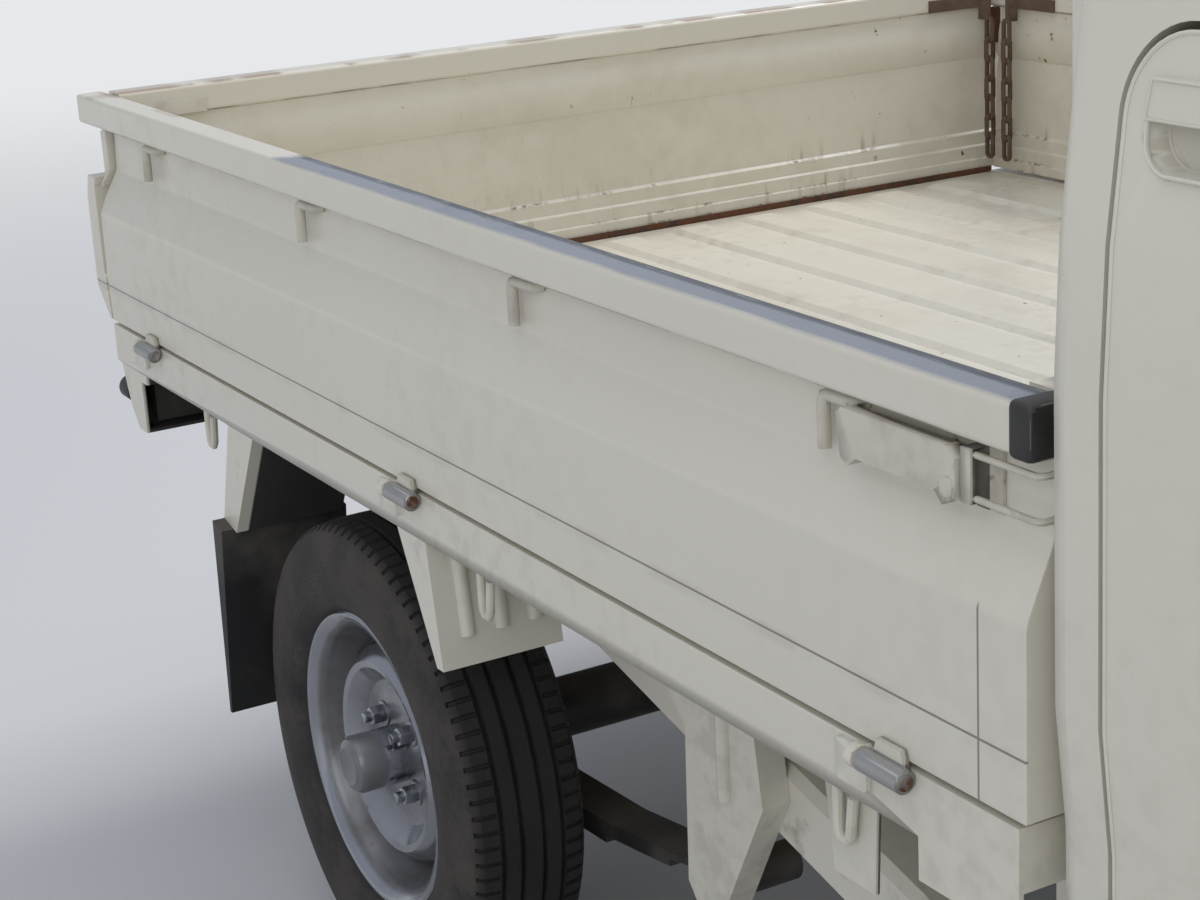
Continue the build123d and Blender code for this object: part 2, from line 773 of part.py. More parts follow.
# Rear axle: tubes that flare into the round housing of the differential, and the back plates
axle_radius = 35.0
axle_half = half_track - 57.0
housing_radius = 108.0
housing_half = 58.0
with BuildPart() as rear_axle:
    half_profile = (
        # distance from the middle, radius
        (axle_half, drum_radius),
        (axle_half - 8.0, drum_radius),
        (axle_half - 8.1, axle_radius),
        (190.0, axle_radius),
        (62.0, 78.0),
    )
    profile = half_profile + tuple((-y, radius) for y, radius in reversed(half_profile))
    centre = (rear_axle_x, 0.0, axle_height)
    turned(Plane(origin=centre, x_dir=(1, 0, 0), z_dir=(0, 1, 0)), profile, 24)
    housing = (
        # distance forwards, radius
        (-housing_half - 26.0, 62.0),
        (-housing_half, housing_radius - 8.0),
        (-housing_half + 0.1, housing_radius),
        (housing_half, housing_radius),
        (housing_half + 18.0, 60.0),
        (190.0, 50.0),
    )
    turned(Plane(origin=centre, x_dir=(0, 1, 0), z_dir=(1, 0, 0)), housing, 24)
    for side in (-1, 1):
        rod((rear_axle_x, side * (axle_half - 1.0), axle_height), (rear_axle_x, side * spindle_reach, axle_height), spindle_radius)
save(rear_axle, "rear_axle")

# Leaf springs under the axle, with their clamps, and the dampers beside them
spring_y = rear_rail_y
spring_half_width = 25.0
eye_radius = 20.0
eye_z = axle_height + 21.0
spring_half_length = 500.0
leaf_thickness = 8.0
leaf_lengths = (500.0, 370.0, 240.0)
clamp_reach = 43.0
spring_top = axle_height - axle_radius - seat_gap
plate_width = 30.0
plate_reach = clamp_reach + 12.0
with BuildPart() as leaf_springs:
    for side in (-1, 1):
        y = side * spring_y
        low = y - spring_half_width
        rise = eye_z - spring_top
        for count in range(len(leaf_lengths)):
            top = []
            for along in (plate_reach, *reversed(leaf_lengths[count:])):
                share = (along - plate_reach) / (spring_half_length - plate_reach)
                level = spring_top - count * leaf_thickness + rise * share**2
                top = [(rear_axle_x - along, level)] + top + [(rear_axle_x + along, level)]
            bottom = [(x, z - leaf_thickness - 0.5) for x, z in reversed(top)]
            slab_y(top + bottom, low, low + 2 * spring_half_width)
        for end in (-1, 1):
            x = rear_axle_x + end * spring_half_length
            y_low, y_high = sorted((side * (spring_y - 35.0), side * (spring_y + 35.0)))
            rod((x, y_low, eye_z), (x, y_high, eye_z), eye_radius)
        clamp_low = spring_top - len(leaf_lengths) * leaf_thickness - 9.0
        block(
            rear_axle_x - plate_reach,
            rear_axle_x + plate_reach,
            y - plate_width,
            y + plate_width,
            clamp_low,
            clamp_low + 9.0,
        )
        for across in (-plate_width + 0.5, plate_width - 0.5):
            clamp_route = (
                (rear_axle_x - clamp_reach, y + across, clamp_low),
                (rear_axle_x - clamp_reach, y + across, axle_height + clamp_reach),
                (rear_axle_x + clamp_reach, y + across, axle_height + clamp_reach),
                (rear_axle_x + clamp_reach, y + across, clamp_low),
            )
            tube(clamp_route, 5.0, clamp_reach / 2, 6)
        damper_foot = (rear_axle_x - 50.0, side * (spring_y - 62.0), clamp_low + 30.0)
        damper_head = (rear_axle_x - 165.0, side * (spring_y - 62.0), rail_at(rear_axle_x - 189.0)[1] - 46.0)
        middle = tuple((Vector(*damper_foot) + Vector(*damper_head)) * 0.5)
        rod(damper_foot, middle, 22.0)
        rod(middle, damper_head, 26.0)
        y_low, y_high = sorted((side * (spring_y - 66.0), side * (spring_y - plate_width + 1.0)))
        block(rear_axle_x - 66.0, rear_axle_x - 34.0, y_low, y_high, clamp_low, clamp_low + 40.0)
save(leaf_springs, "leaf_springs")

# Hangers: pressed boxes with a rib for the front eyes, shackle plates for the rear eyes
hanger_inner = spring_y + 35.3
hanger_outer = spring_y + 65.0
front_eye_x = rear_axle_x + spring_half_length
rear_eye_x = rear_axle_x - spring_half_length
hanger_form = (
    (front_eye_x - 60.0, sill_bottom - seat_gap),
    (front_eye_x + 96.0, sill_bottom - seat_gap),
    (front_eye_x + 96.0, 476.0),
    (front_eye_x + 106.0, 412.0),
    (front_eye_x + 30.0, eye_z - 20.0),
    (front_eye_x - 10.0, eye_z - 26.0),
    (front_eye_x - 28.0, eye_z - 4.0),
    (front_eye_x - 22.0, 449.0),
    (front_eye_x - 60.0, 489.0),
)
hanger_pocket = (
    (front_eye_x - 55.0, sill_bottom - 5.0),
    (front_eye_x + 91.0, sill_bottom - 5.0),
    (front_eye_x + 91.0, 476.0),
    (front_eye_x + 99.0, 414.0),
    (front_eye_x + 40.0, eye_z + 32.0),
    (front_eye_x - 8.0, eye_z + 32.0),
    (front_eye_x - 14.0, 449.0),
    (front_eye_x - 55.0, 493.0),
)
shackle_form = (
    (rear_eye_x - 20.0, eye_z - 22.0),
    (rear_eye_x + 20.0, eye_z - 22.0),
    (rear_eye_x + 20.0, sill_bottom - 55.0),
    (rear_eye_x - 20.0, sill_bottom - 55.0),
)
with BuildPart() as spring_hangers:
    for side in (-1, 1):
        y_low, y_high = sorted((side * hanger_inner, side * hanger_outer))
        slab_y(hanger_form, y_low, y_high)
        y_low, y_high = sorted((side * (hanger_inner - 2.0), side * (hanger_outer - skin)))
        slab_y(hanger_pocket, y_low, y_high, Mode.SUBTRACT)
        rod(
            (front_eye_x + 45.0, side * (hanger_outer - 1.0), 560.0),
            (front_eye_x + 45.0, side * (hanger_outer - 1.0), 400.0),
            9.0,
        )
        y_low, y_high = sorted((side * hanger_inner, side * (hanger_inner + 9.0)))
        slab_y(shackle_form, y_low, y_high, radius=12.0)
save(spring_hangers, "spring_hangers")

# Engine and gearbox under the seats, as one block
engine_rear = cab_rear - 1.0
with BuildPart() as engine:
    block(engine_rear, engine_rear + 490.0, -230.0, 230.0, 290.0, 600.0, radius=30.0)
    block(engine_rear - 300.0, engine_rear + 40.0, -110.0, 110.0, 280.0, 440.0, radius=20.0)
save(engine, "engine")

with BuildPart() as propshaft:
    rod((engine_rear - 303.7, 0.0, 350.0), (rear_axle_x + 193.8, 0.0, axle_height), 28.0)
save(propshaft, "propshaft")

tank_outer = rear_rail_y - frame_rail_width / 2 - seat_gap
with BuildPart() as fuel_tank:
    block(cab_rear - 751.0, cab_rear - 371.0, tank_outer - 370.0, tank_outer, 250.0, 440.0, radius=45.0)
save(fuel_tank, "fuel_tank")

# Exhaust: pipe over the axle into a transverse silencer
pipe_y = -200.0
pipe_radius = 20.0
silencer_x = rear_axle_x - 399.0
with BuildPart() as exhaust:
    tube(((silencer_x, pipe_y - 130.0, 350.0), (silencer_x, pipe_y + 280.0, 350.0)), 70.0, 0.0, 16)
    pipe_route = (
        (silencer_x, pipe_y, 350.0),
        (rear_axle_x - 199.0, pipe_y, 400.0),
        (rear_axle_x + 201.0, pipe_y, 400.0),
        (rear_axle_x + 401.0, pipe_y, 330.0),
        (engine_rear, pipe_y, 330.0),
    )
    tube(pipe_route, pipe_radius, 70.0)
save(exhaust, "exhaust")

# Cab body: plan sections from the floor to the roof
roof_drop = roof_height - 1790.0
cab_levels = (
    # Z, reach before the front axle, half width, set-in of the rear, front and rear corner radius, bow of the nose
    (cab_bottom, 773.0, cab_half - 16.0, 0.0, 140.0, 28.0, 26.0),
    (660.0, 771.0, cab_half - 11.0, 0.0, 140.0, 28.0, 26.0),
    (746.0, 767.0, cab_half - 2.0, 0.0, 140.0, 28.0, 26.0),
    (957.0, 725.0, cab_half, 0.0, 140.0, 28.0, 26.0),
    (screen_foot[1], screen_foot[0] - front_axle_x, cab_half - 4.0, 0.0, 130.0, 28.0, 26.0),
    (belt_height, 549.0, cab_half - 21.0, 0.0, 112.0, 28.0, 26.0),
    (screen_head[1], screen_head[0] - front_axle_x, cab_half - 98.0, 4.0, 90.0, 32.0, 24.0),
    (roof_height - 36.0, 130.0, cab_half - 128.0, 22.0, 100.0, 60.0, 24.0),
    (roof_height - 9.0, -30.0, cab_half - 205.0, 90.0, 130.0, 110.0, 16.0),
    (roof_height, -200.0, cab_half - 330.0, 190.0, 130.0, 120.0, 10.0),
)


def body_ring(height, rear, front, half, front_radius, rear_radius, bow):
    """A plan section as points: straight rear and sides, rounded corners and a front that bows out."""
    corner = front - bow
    right = []
    for share in (0.0, 0.33, 0.67, 1.0):
        turn = math.radians(90 * share)
        right.append((rear + rear_radius * (1 - math.sin(turn)), half - rear_radius * (1 - math.cos(turn))))
    right.reverse()
    for share in (1.0, 0.75, 0.5, 0.25, 0.0):
        turn = math.radians(90 * share)
        right.append((corner - front_radius * (1 - math.cos(turn)), half - front_radius * (1 - math.sin(turn))))
    for share in (0.67, 0.33):
        right.append((corner + bow * (1 - share**2), share * (half - front_radius)))
    left = [Vector(x, y, height) for x, y in right]
    return [Vector(x, -y, height) for x, y in right] + [Vector(front, 0.0, height)] + left[::-1]


def cab_form(inset, foot):
    """The cab's form, set in by a distance all round, its foot moved to a height."""
    with BuildPart() as form:
        rings = []
        for z, reach, half, rear_in, front_radius, rear_radius, bow in cab_levels:
            height = z
            if z == cab_bottom:
                height = foot
            elif z > screen_head[1]:
                height = z - inset
            rings.append(
                body_ring(
                    height,
                    cab_rear + rear_in + inset,
                    front_axle_x + reach - inset * 1.1,
                    half - inset,
                    front_radius - inset * 0.8,
                    max(rear_radius - inset * 0.5, 2.0),
                    bow,
                )
            )
        many_faced(rings)
    return form.part


cab_outer = cab_form(0.0, cab_bottom)
cab_inner = cab_form(cab_wall, 100.0)
glass_outer = cab_form(glass_depth, 150.0)
glass_inner = cab_form(glass_depth + glass_thickness, 145.0)

screen_rise = screen_head[1] - screen_foot[1]
screen_run = screen_foot[0] - screen_head[0]
screen_length = (screen_rise**2 + screen_run**2) ** 0.5
screen_out = (screen_rise / screen_length, 0.0, screen_run / screen_length)
screen_plane = Plane(
    origin=(screen_foot[0] - 90.0 * screen_out[0], 0.0, screen_foot[1] - 90.0 * screen_out[2]),
    x_dir=(0, 1, 0),
    z_dir=screen_out,
)
screen_corner = 60.0


def screen_outline(slack):
    """Outline of the windscreen opening, eased in by a gap."""
    return outline(
        screen_plane,
        (
            (-cab_half + 88.0 + slack, 45.0 + slack),
            (cab_half - 88.0 - slack, 45.0 + slack),
            (cab_half - 158.0 - slack, screen_length - 25.0 - slack),
            (-cab_half + 158.0 + slack, screen_length - 25.0 - slack),
        ),
        screen_corner - slack,
    )


def rear_window_outline(slack):
    """Outline of the rear window opening, in Y and Z."""
    low = belt_height + 50.0
    high = roof_height - 200.0
    return outline(
        Plane.YZ.offset(cab_rear - 50.0),
        (
            (-480.0 + slack, low + slack),
            (480.0 - slack, low + slack),
            (460.0 - slack, high - slack),
            (-460.0 + slack, high - slack),
        ),
        40.0 - slack,
    )


door_reach = 150.0


def door_outline(grow, start):
    """Outline of the door in X and Z, on the plane Y = -start."""
    shoulder = belt_height - 16.0
    with BuildSketch(Plane.XZ.offset(start)) as door_face:
        with BuildLine():
            FilletPolyline(
                (door_rear, door_bottom),
                (door_front, door_bottom),
                (door_front, screen_foot[1] + 30.0),
                (screen_head[0] - 52.0, roof_height - 82.0),
                (door_rear + 120.0, roof_height - 76.0),
                (door_rear + 96.0, shoulder),
                (door_rear, shoulder),
                radius=(30.0, 60.0, 60.0, 60.0, 40.0, 12.0, 50.0),
                close=True,
            )
        make_face()
        if grow:
            offset(amount=grow, kind=Kind.INTERSECTION)
        with Locations((front_axle_x, axle_height)):
            Circle(arch_radius + (0.0 if grow else door_gap), mode=Mode.SUBTRACT)
    return door_face.sketch


def window_outline(slack):
    """Outline of the door's window in X and Z, eased in by a gap."""
    return outline(
        Plane.XZ.offset(cab_half - 250.0),
        (
            (door_rear + 138.0 + slack, belt_height + 8.0 + slack),
            (door_front - 78.0 - slack, belt_height + 8.0 + slack),
            (screen_head[0] - 92.0 - slack, roof_height - 138.0 - slack),
            (door_rear + 158.0 + slack, roof_height - 134.0 - slack),
        ),
        32.0 - slack,
    )


def lamp_outline(side, slack):
    """Outline of a headlamp in Y and Z."""
    points = ((cab_half - 290.0, 660.0), (cab_half - 30.0, 650.0), (cab_half - 20.0, 815.0), (cab_half - 240.0, 815.0))
    middle_y = cab_half - 150.0
    middle_z = 735.0
    eased = []
    for y, z in points:
        toward_y = slack if y < middle_y else -slack
        toward_z = slack if z < middle_z else -slack
        eased.append((side * (y + toward_y), z + toward_z))
    return outline(Plane.YZ.offset(front_axle_x + 560.0), eased, 24.0 - slack)


door_hinge_z = (620.0, 960.0)
hinge_pin_radius = 2.6
hinge_pin_y = cab_half + 0.5
hinge_pin_x = door_front + door_gap / 2

with BuildPart() as cab_shell:
    add(cab_outer)
    add(cab_inner, mode=Mode.SUBTRACT)
    for start in (cab_half - door_reach - door_gap, -cab_half - 60.0):
        extrude(door_outline(door_gap, start), amount=door_reach + door_gap + 60.0, mode=Mode.SUBTRACT)
    extrude(screen_outline(0.0), amount=220.0, mode=Mode.SUBTRACT)
    extrude(rear_window_outline(0.0), amount=150.0, mode=Mode.SUBTRACT)
    block(cab_rear - 50.0, cab_rear + 100.0, -cab_half + 48.0, cab_half - 48.0, 0.0, 600.0, Mode.SUBTRACT)
    block(bumper_rear - seat_gap, front_end + 100.0, -cab_half - 60.0, cab_half + 60.0, 0.0, bumper_top + seat_gap, Mode.SUBTRACT)
    rod(
        (front_axle_x, -cab_half - 60.0, axle_height),
        (front_axle_x, cab_half + 60.0, axle_height),
        arch_radius,
        Mode.SUBTRACT,
    )
    for side in (-1, 1):
        extrude(lamp_outline(side, 0.0), amount=250.0, mode=Mode.SUBTRACT)
        for z in door_hinge_z:
            y_low, y_high = sorted((side * (cab_half - 38.0), side * (cab_half - 9.0)))
            block(door_front + seat_gap, door_front + door_gap + 1.0, y_low, y_high, z, z + 60.0)
            y_low, y_high = sorted((side * (cab_half - 10.0), side * (cab_half + 1.0)))
            block(hinge_pin_x - 0.5, door_front + door_gap + 1.0, y_low, y_high, z, z + 60.0)
            rod((hinge_pin_x, side * hinge_pin_y, z), (hinge_pin_x, side * hinge_pin_y, z + 60.0), hinge_pin_radius)
save(cab_shell, "cab_shell")

with BuildPart() as cab_glass:
    add(glass_outer)
    with BuildPart(mode=Mode.PRIVATE) as panes:
        extrude(screen_outline(seat_gap), amount=220.0)
        extrude(rear_window_outline(seat_gap), amount=150.0)
    add(panes.part, mode=Mode.INTERSECT)
    add(glass_inner, mode=Mode.SUBTRACT)
save(cab_glass, "cab_glass")

with BuildPart() as front_lamps:
    add(cab_outer)
    with BuildPart(mode=Mode.PRIVATE) as bowls:
        for side in (-1, 1):
            extrude(lamp_outline(side, seat_gap), amount=250.0)
    add(bowls.part, mode=Mode.INTERSECT)
    add(cab_inner, mode=Mode.SUBTRACT)
save(front_lamps, "front_lamps")

# Doors: the cab's wall inside the door outline, less the window, with a pull recess and its flap
handle_x = door_rear + 62.0
handle_z = belt_height - 70.0
handle_half = (44.0, 26.0)
with BuildPart() as door:
    add(cab_outer)
    extrude(door_outline(0.0, cab_half - door_reach), amount=door_reach + 60.0, mode=Mode.INTERSECT)
    add(cab_inner, mode=Mode.SUBTRACT)
    extrude(window_outline(0.0), amount=300.0, mode=Mode.SUBTRACT)
    recess = (
        (handle_x - handle_half[0], handle_z - handle_half[1]),
        (handle_x + handle_half[0], handle_z - handle_half[1]),
        (handle_x + handle_half[0], handle_z + handle_half[1]),
        (handle_x - handle_half[0], handle_z + handle_half[1]),
    )
    slab_y(recess, -cab_half - 20.0, -cab_half + 30.0, Mode.SUBTRACT, radius=20.0)
    slab_y(
        (
            (handle_x - handle_half[0] - 1.0, handle_z + 4.0),
            (handle_x + handle_half[0] + 1.0, handle_z + 4.0),
            (handle_x + handle_half[0] - 4.0, handle_z + handle_half[1] + 1.0),
            (handle_x - handle_half[0] + 4.0, handle_z + handle_half[1] + 1.0),
        ),
        -cab_half + 12.0,
        -cab_half + 18.0,
    )
    for z in door_hinge_z:
        rod((hinge_pin_x, -hinge_pin_y, z - 30.0), (hinge_pin_x, -hinge_pin_y, z - seat_gap), hinge_pin_radius)
        block(door_front - 1.0, hinge_pin_x, -cab_half - 1.0, -cab_half + 14.0, z - 30.0, z - seat_gap)
save_pair(door, "door")

with BuildPart() as door_glass:
    add(glass_outer)
    extrude(window_outline(seat_gap), amount=300.0, mode=Mode.INTERSECT)
    add(glass_inner, mode=Mode.SUBTRACT)
save_pair(door_glass, "door_glass")

# Mirrors on stalks at the front of the doors
mirror_x = door_front - 105.0
mirror_z = belt_height + 120.0
mirror_out = cab_half + 128.0
with BuildPart() as door_mirror:
    slab_x(
        (
            (-mirror_out + 118.0, mirror_z - 110.0),
            (-mirror_out + 118.0, mirror_z + 110.0),
            (-mirror_out, mirror_z + 110.0),
            (-mirror_out, mirror_z - 110.0),
        ),
        mirror_x,
        mirror_x + 46.0,
        radius=24.0,
    )
    stalk_route = (
        (mirror_x + 30.0, -cab_half + 17.0, belt_height - 40.0),
        (mirror_x + 24.0, -cab_half - 40.0, belt_height - 20.0),
        (mirror_x + 24.0, -mirror_out + 60.0, mirror_z - 100.0),
    )
    tube(stalk_route, 9.0, 30.0)
    add(cab_form(-seat_gap, cab_bottom), mode=Mode.SUBTRACT)
save_pair(door_mirror, "door_mirror")

# Front bumper: wraps the nose below the lamps, cut back by the wheel arches, with a cooling grille
plate_hole_spacing = 210.0
plate_hole_radius = 3.5
plate_hole_z = bumper_bottom + 205.0
plate_half = 165.0
bumper_wall = 34.0


def bumper_form(inset, low, high):
    """The bumper's form between two heights."""
    with BuildPart() as form:
        rings = []
        for z, lean in ((low, 14.0), (low + (high - low) * 0.55, 0.0), (high, 5.0)):
            rings.append(
                body_ring(
                    z,
                    bumper_rear + inset * 0.1,
                    front_end - lean - inset,
                    cab_half - 8.0 - lean - inset,
                    150.0 - inset,
                    2.0,
                    30.0,
                )
            )
        many_faced(rings)
    return form.part


with BuildPart() as front_bumper:
    add(bumper_form(0.0, bumper_bottom, bumper_top))
    add(bumper_form(bumper_wall, bumper_bottom - 5.0, bumper_top + 5.0), mode=Mode.SUBTRACT)
    block(bumper_rear - 5.0, bumper_rear + 5.0, -cab_half + 46.0, cab_half - 46.0, 0.0, bumper_top + 5.0, Mode.SUBTRACT)
    rod(
        (front_axle_x, -cab_half - 60.0, axle_height),
        (front_axle_x, cab_half + 60.0, axle_height),
        arch_radius,
        Mode.SUBTRACT,
    )
    for count in range(3):
        z = bumper_bottom + 32.0 + count * 28.0
        block(front_end - 110.0, front_end + 50.0, -330.0, 330.0, z, z + 16.0, Mode.SUBTRACT)
    block(front_end - bumper_wall - 8.0, front_end, -plate_half, plate_half, plate_hole_z - 75.0, bumper_top)
    for side in (-1, 1):
        hole_y = side * plate_hole_spacing / 2
        rod((front_end - 90.0, hole_y, plate_hole_z), (front_end + 50.0, hole_y, plate_hole_z), plate_hole_radius, Mode.SUBTRACT)
save(front_bumper, "front_bumper")

# Cab floor: foot well, seat platform and wheel houses
house_wall = 8.0
well_bottom = 432.0
well_half = cab_half - 138.0
platform_front = front_axle_x - 139.0
bulkhead_x = front_end - 177.0
with BuildPart() as cab_floor:
    block(platform_front, bulkhead_x + 8.0, -well_half, well_half, well_bottom, well_bottom + 8.0)
    block(
        cab_rear + cab_wall + seat_gap,
        platform_front + 10.0,
        -cab_half + 70.0,
        cab_half - 70.0,
        platform_top - 10.0,
        platform_top,
    )
    block(platform_front, platform_front + 10.0, -well_half, well_half, well_bottom, platform_top)
    block(bulkhead_x, bulkhead_x + 8.0, -well_half, well_half, well_bottom, 900.0)
    mount_low = rail_path[-1][2] + frame_rail_height / 2 + seat_gap
    for low, high in both_sides(arch_inner, cab_half - 78.0):
        rod((front_axle_x, low, axle_height), (front_axle_x, high, axle_height), arch_radius + house_wall)
    for low, high in both_sides(arch_inner + house_wall, cab_half - 38.0):
        rod((front_axle_x, low, axle_height), (front_axle_x, high, axle_height), arch_radius, Mode.SUBTRACT)
    block(0.0, front_end, -cab_half, cab_half, -200.0, well_bottom, Mode.SUBTRACT)
    for x in (platform_front + 50.0, bulkhead_x - 60.0):
        for side in (-1, 1):
            rod((x, side * front_rail_y, mount_low), (x, side * front_rail_y, well_bottom + 1.0), 26.0)
save(cab_floor, "cab_floor")

# Dashboard with a hood over the dials, on a cross beam
dash_rear = front_axle_x + 261.0
dash_front = front_axle_x + 520.0
dash_low = belt_height - 310.0
dash_half = cab_half - 90.0
dash_top = belt_height - 120.0
with BuildPart() as dashboard:
    dash_section = (
        (dash_rear + 20.0, dash_low),
        (dash_front - 60.0, dash_low),
        (dash_front, dash_top - 20.0),
        (dash_rear + 80.0, dash_top),
        (dash_rear, dash_top - 40.0),
    )
    slab_y(dash_section, -dash_half, dash_half, radius=16.0)
    hood = (
        (dash_rear + 10.0, dash_top - 60.0),
        (dash_rear + 150.0, dash_top - 60.0),
        (dash_rear + 130.0, dash_top + 30.0),
        (dash_rear + 30.0, dash_top + 44.0),
    )
    slab_y(hood, -seat_y - 170.0, -seat_y + 170.0, radius=14.0)
    beam_half = cab_half - cab_wall - 0.9
    block(dash_rear + 90.0, dash_rear + 130.0, -beam_half, beam_half, dash_low + 20.0, dash_low + 50.0)
save(dashboard, "dashboard")

# Seats: cushion, leaning back and headrest
seat_rear = cab_rear + cab_wall + 30.0
with BuildPart() as seat:
    seat_side = (
        (seat_rear + 40.0, platform_top + seat_gap),
        (seat_rear + 500.0, platform_top + seat_gap),
        (seat_rear + 520.0, platform_top + 150.0),
        (seat_rear + 160.0, platform_top + 135.0),
        (seat_rear + 105.0, platform_top + 640.0),
        (seat_rear + 10.0, platform_top + 655.0),
        (seat_rear + 40.0, platform_top + 110.0),
    )
    slab_y(seat_side, -seat_y - seat_width / 2, -seat_y + seat_width / 2, radius=28.0)
    headrest = (
        (seat_rear + 10.0, platform_top + 635.0),
        (seat_rear + 100.0, platform_top + 630.0),
        (seat_rear + 95.0, platform_top + 790.0),
        (seat_rear + 15.0, platform_top + 795.0),
    )
    slab_y(headrest, -seat_y - 125.0, -seat_y + 125.0, radius=25.0)
save_pair(seat, "seat")

# Steering column under the dashboard, and the steering wheel
hub_depth = 29.0
column_length = 400.0
wheel_centre = Vector(*steering_centre)
column_axis = Vector(*column_direction)
with BuildPart() as steering_column:
    column_start = wheel_centre - column_axis * (hub_depth + seat_gap)
    column_end = wheel_centre - column_axis * column_length
    rod(tuple(column_start), tuple(column_end), 28.0)
    stay_x = dash_rear + 60.0
    stay_share = (stay_x - steering_centre[0]) / -column_direction[0]
    stay_low = steering_centre[2] - stay_share * column_direction[2]
    y = steering_centre[1]
    block(stay_x - 15.0, stay_x + 15.0, y - 15.0, y + 15.0, stay_low, dash_low - seat_gap)
save(steering_column, "steering_column")

grip_radius = 13.0
with BuildPart() as steering_wheel:
    wheel_plane = Plane(origin=steering_centre, x_dir=(0, 1, 0), z_dir=column_direction)
    hoop = []
    for count in range(8):
        turn = math.radians(45 * count)
        hoop.append((grip_radius * math.sin(turn), steering_radius + grip_radius * math.cos(turn)))
    turned(wheel_plane, hoop, 28, closed=True)
    rod(tuple(wheel_centre - column_axis * hub_depth), tuple(wheel_centre), 40.0)
    with BuildSketch(wheel_plane.offset(-10.0)) as spokes:
        with PolarLocations(steering_radius / 2, 3, start_angle=90):
            Rectangle(steering_radius - 8.0, 30.0)
    extrude(spokes.sketch, amount=9.0)
save(steering_wheel, "steering_wheel")

# Front suspension: lower arms, spring seats above the struts and the steering rack
rack_x = front_axle_x - 115.0
with BuildPart() as front_suspension:
    for side in (-1, 1):
        arm = (
            (front_axle_x - 25.0, side * (kingpin_y + 15.0)),
            (front_axle_x + 25.0, side * (kingpin_y + 15.0)),
            (front_axle_x + 161.0, side * (front_rail_y + 36.0)),
            (front_axle_x - 161.0, side * (front_rail_y + 36.0)),
        )
        slab_z(arm, axle_height - 120.0, axle_height - 102.0)
        for count in range(4):
            z = axle_height + 278.0 + count * 16.0
            tube(((front_axle_x, side * kingpin_y, z), (front_axle_x, side * kingpin_y, z + 9.0)), 46.0, 0.0, 16)
        seat_radius = 30.0
        strut_top = axle_height + (arch_radius**2 - seat_radius**2) ** 0.5 - seat_gap
        rod(
            (front_axle_x, side * kingpin_y, axle_height + 278.0),
            (front_axle_x, side * kingpin_y, strut_top),
            seat_radius,
        )
        y_low, y_high = sorted((side * (front_rail_y - 10.0), side * (front_rail_y + 40.0)))
        for end in (-1, 1):
            x_low, x_high = sorted((front_axle_x + end * 130.0, front_axle_x + end * 160.0))
            block(x_low, x_high, y_low, y_high, axle_height - 115.0, 340.0 - frame_rail_height / 2 - seat_gap)
    rod((rack_x, -kingpin_y + 15.0, axle_height - 70.0), (rack_x, kingpin_y - 15.0, axle_height - 70.0), 14.0)
    for low, high in both_sides(front_rail_y - 20.0, front_rail_y + 20.0):
        block(rack_x - 12.0, rack_x + 12.0, low, high, axle_height - 70.0, 340.0 - frame_rail_height / 2 - seat_gap)
save(front_suspension, "front_suspension")

# Knuckles with the strut tube, the spindle, the dust shield and the steering arm
with BuildPart() as knuckle:
    rod(
        (front_axle_x, -kingpin_y, axle_height - 101.5),
        (front_axle_x, -kingpin_y, axle_height + 277.5),
        strut_radius,
    )
    rod(
        (front_axle_x, -kingpin_y, axle_height),
        (front_axle_x, -spindle_reach, axle_height),
        spindle_radius,
    )
    shield = ((front_axle_x, -half_track + 52.0, axle_height), (front_axle_x, -half_track + 48.0, axle_height))
    tube(shield, drum_radius, 0.0, 24)
    block(rack_x - 14.0, front_axle_x, -kingpin_y - 10.0, -kingpin_y + 10.0, axle_height - 48.0, axle_height - 30.0)
save_pair(knuckle, "knuckle")

# Wheels: one pressed steel rim with its brake drum, and one tyre, set at the four corners
corners = (
    # name, X of the axle, side
    ("fl", front_axle_x, 1),
    ("fr", front_axle_x, -1),
    ("rl", rear_axle_x, 1),
    ("rr", rear_axle_x, -1),
)
seat_radius = rim_radius - 15.0
half_rim = rim_width / 2
half_tyre = tyre_width / 2
cap_radius = 33.0
cap_reach = mount_face + 73.0
crest_radius = rim_radius - 57.0
wall_radius = 0.8 * tyre_radius
front_side = (
    # distance outwards, radius: cap, bowl, crest, well and flange
    (cap_reach, cap_radius - 9.0),
    (cap_reach - 6.0, cap_radius - 2.0),
    (mount_face + 7.0, cap_radius),
    (mount_face + 7.0, crest_radius - 32.0),
    (mount_face + 27.0, crest_radius - 6.0),
    (mount_face + 27.0, crest_radius),
    (mount_face + 5.0, crest_radius + 14.0),
    (mount_face - 3.0, rim_radius - 39.0),
    (mount_face + 3.0, rim_radius - 36.0),
    (half_rim - 20.0, rim_radius - 22.0),
    (half_rim - 9.0, rim_radius - 19.5),
    (half_rim + 0.5, rim_radius - 4.5),
)
outer_side = (
    # distance outwards, radius: over the flanges, the tyre's seats and the well
    (half_rim, rim_radius),
    (half_rim - 9.0, rim_radius),
    (half_rim - 9.4, seat_radius),
    (half_rim - 22.0, seat_radius),
    (mount_face + 1.0, rim_radius - 32.0),
    (-mount_face - 11.0, rim_radius - 32.0),
    (22.0 - half_rim, seat_radius),
    (9.4 - half_rim, seat_radius),
    (9.0 - half_rim, rim_radius),
    (-half_rim, rim_radius),
)
rear_side = (
    # distance outwards, radius: back flange, well and brake drum
    (-half_rim - 0.5, rim_radius - 4.5),
    (9.0 - half_rim, rim_radius - 19.5),
    (20.0 - half_rim, rim_radius - 22.0),
    (-mount_face - 7.0, rim_radius - 37.0),
    (mount_face - 13.0, rim_radius - 37.0),
    (mount_face - 13.1, drum_radius),
    (-41.0, drum_radius),
)
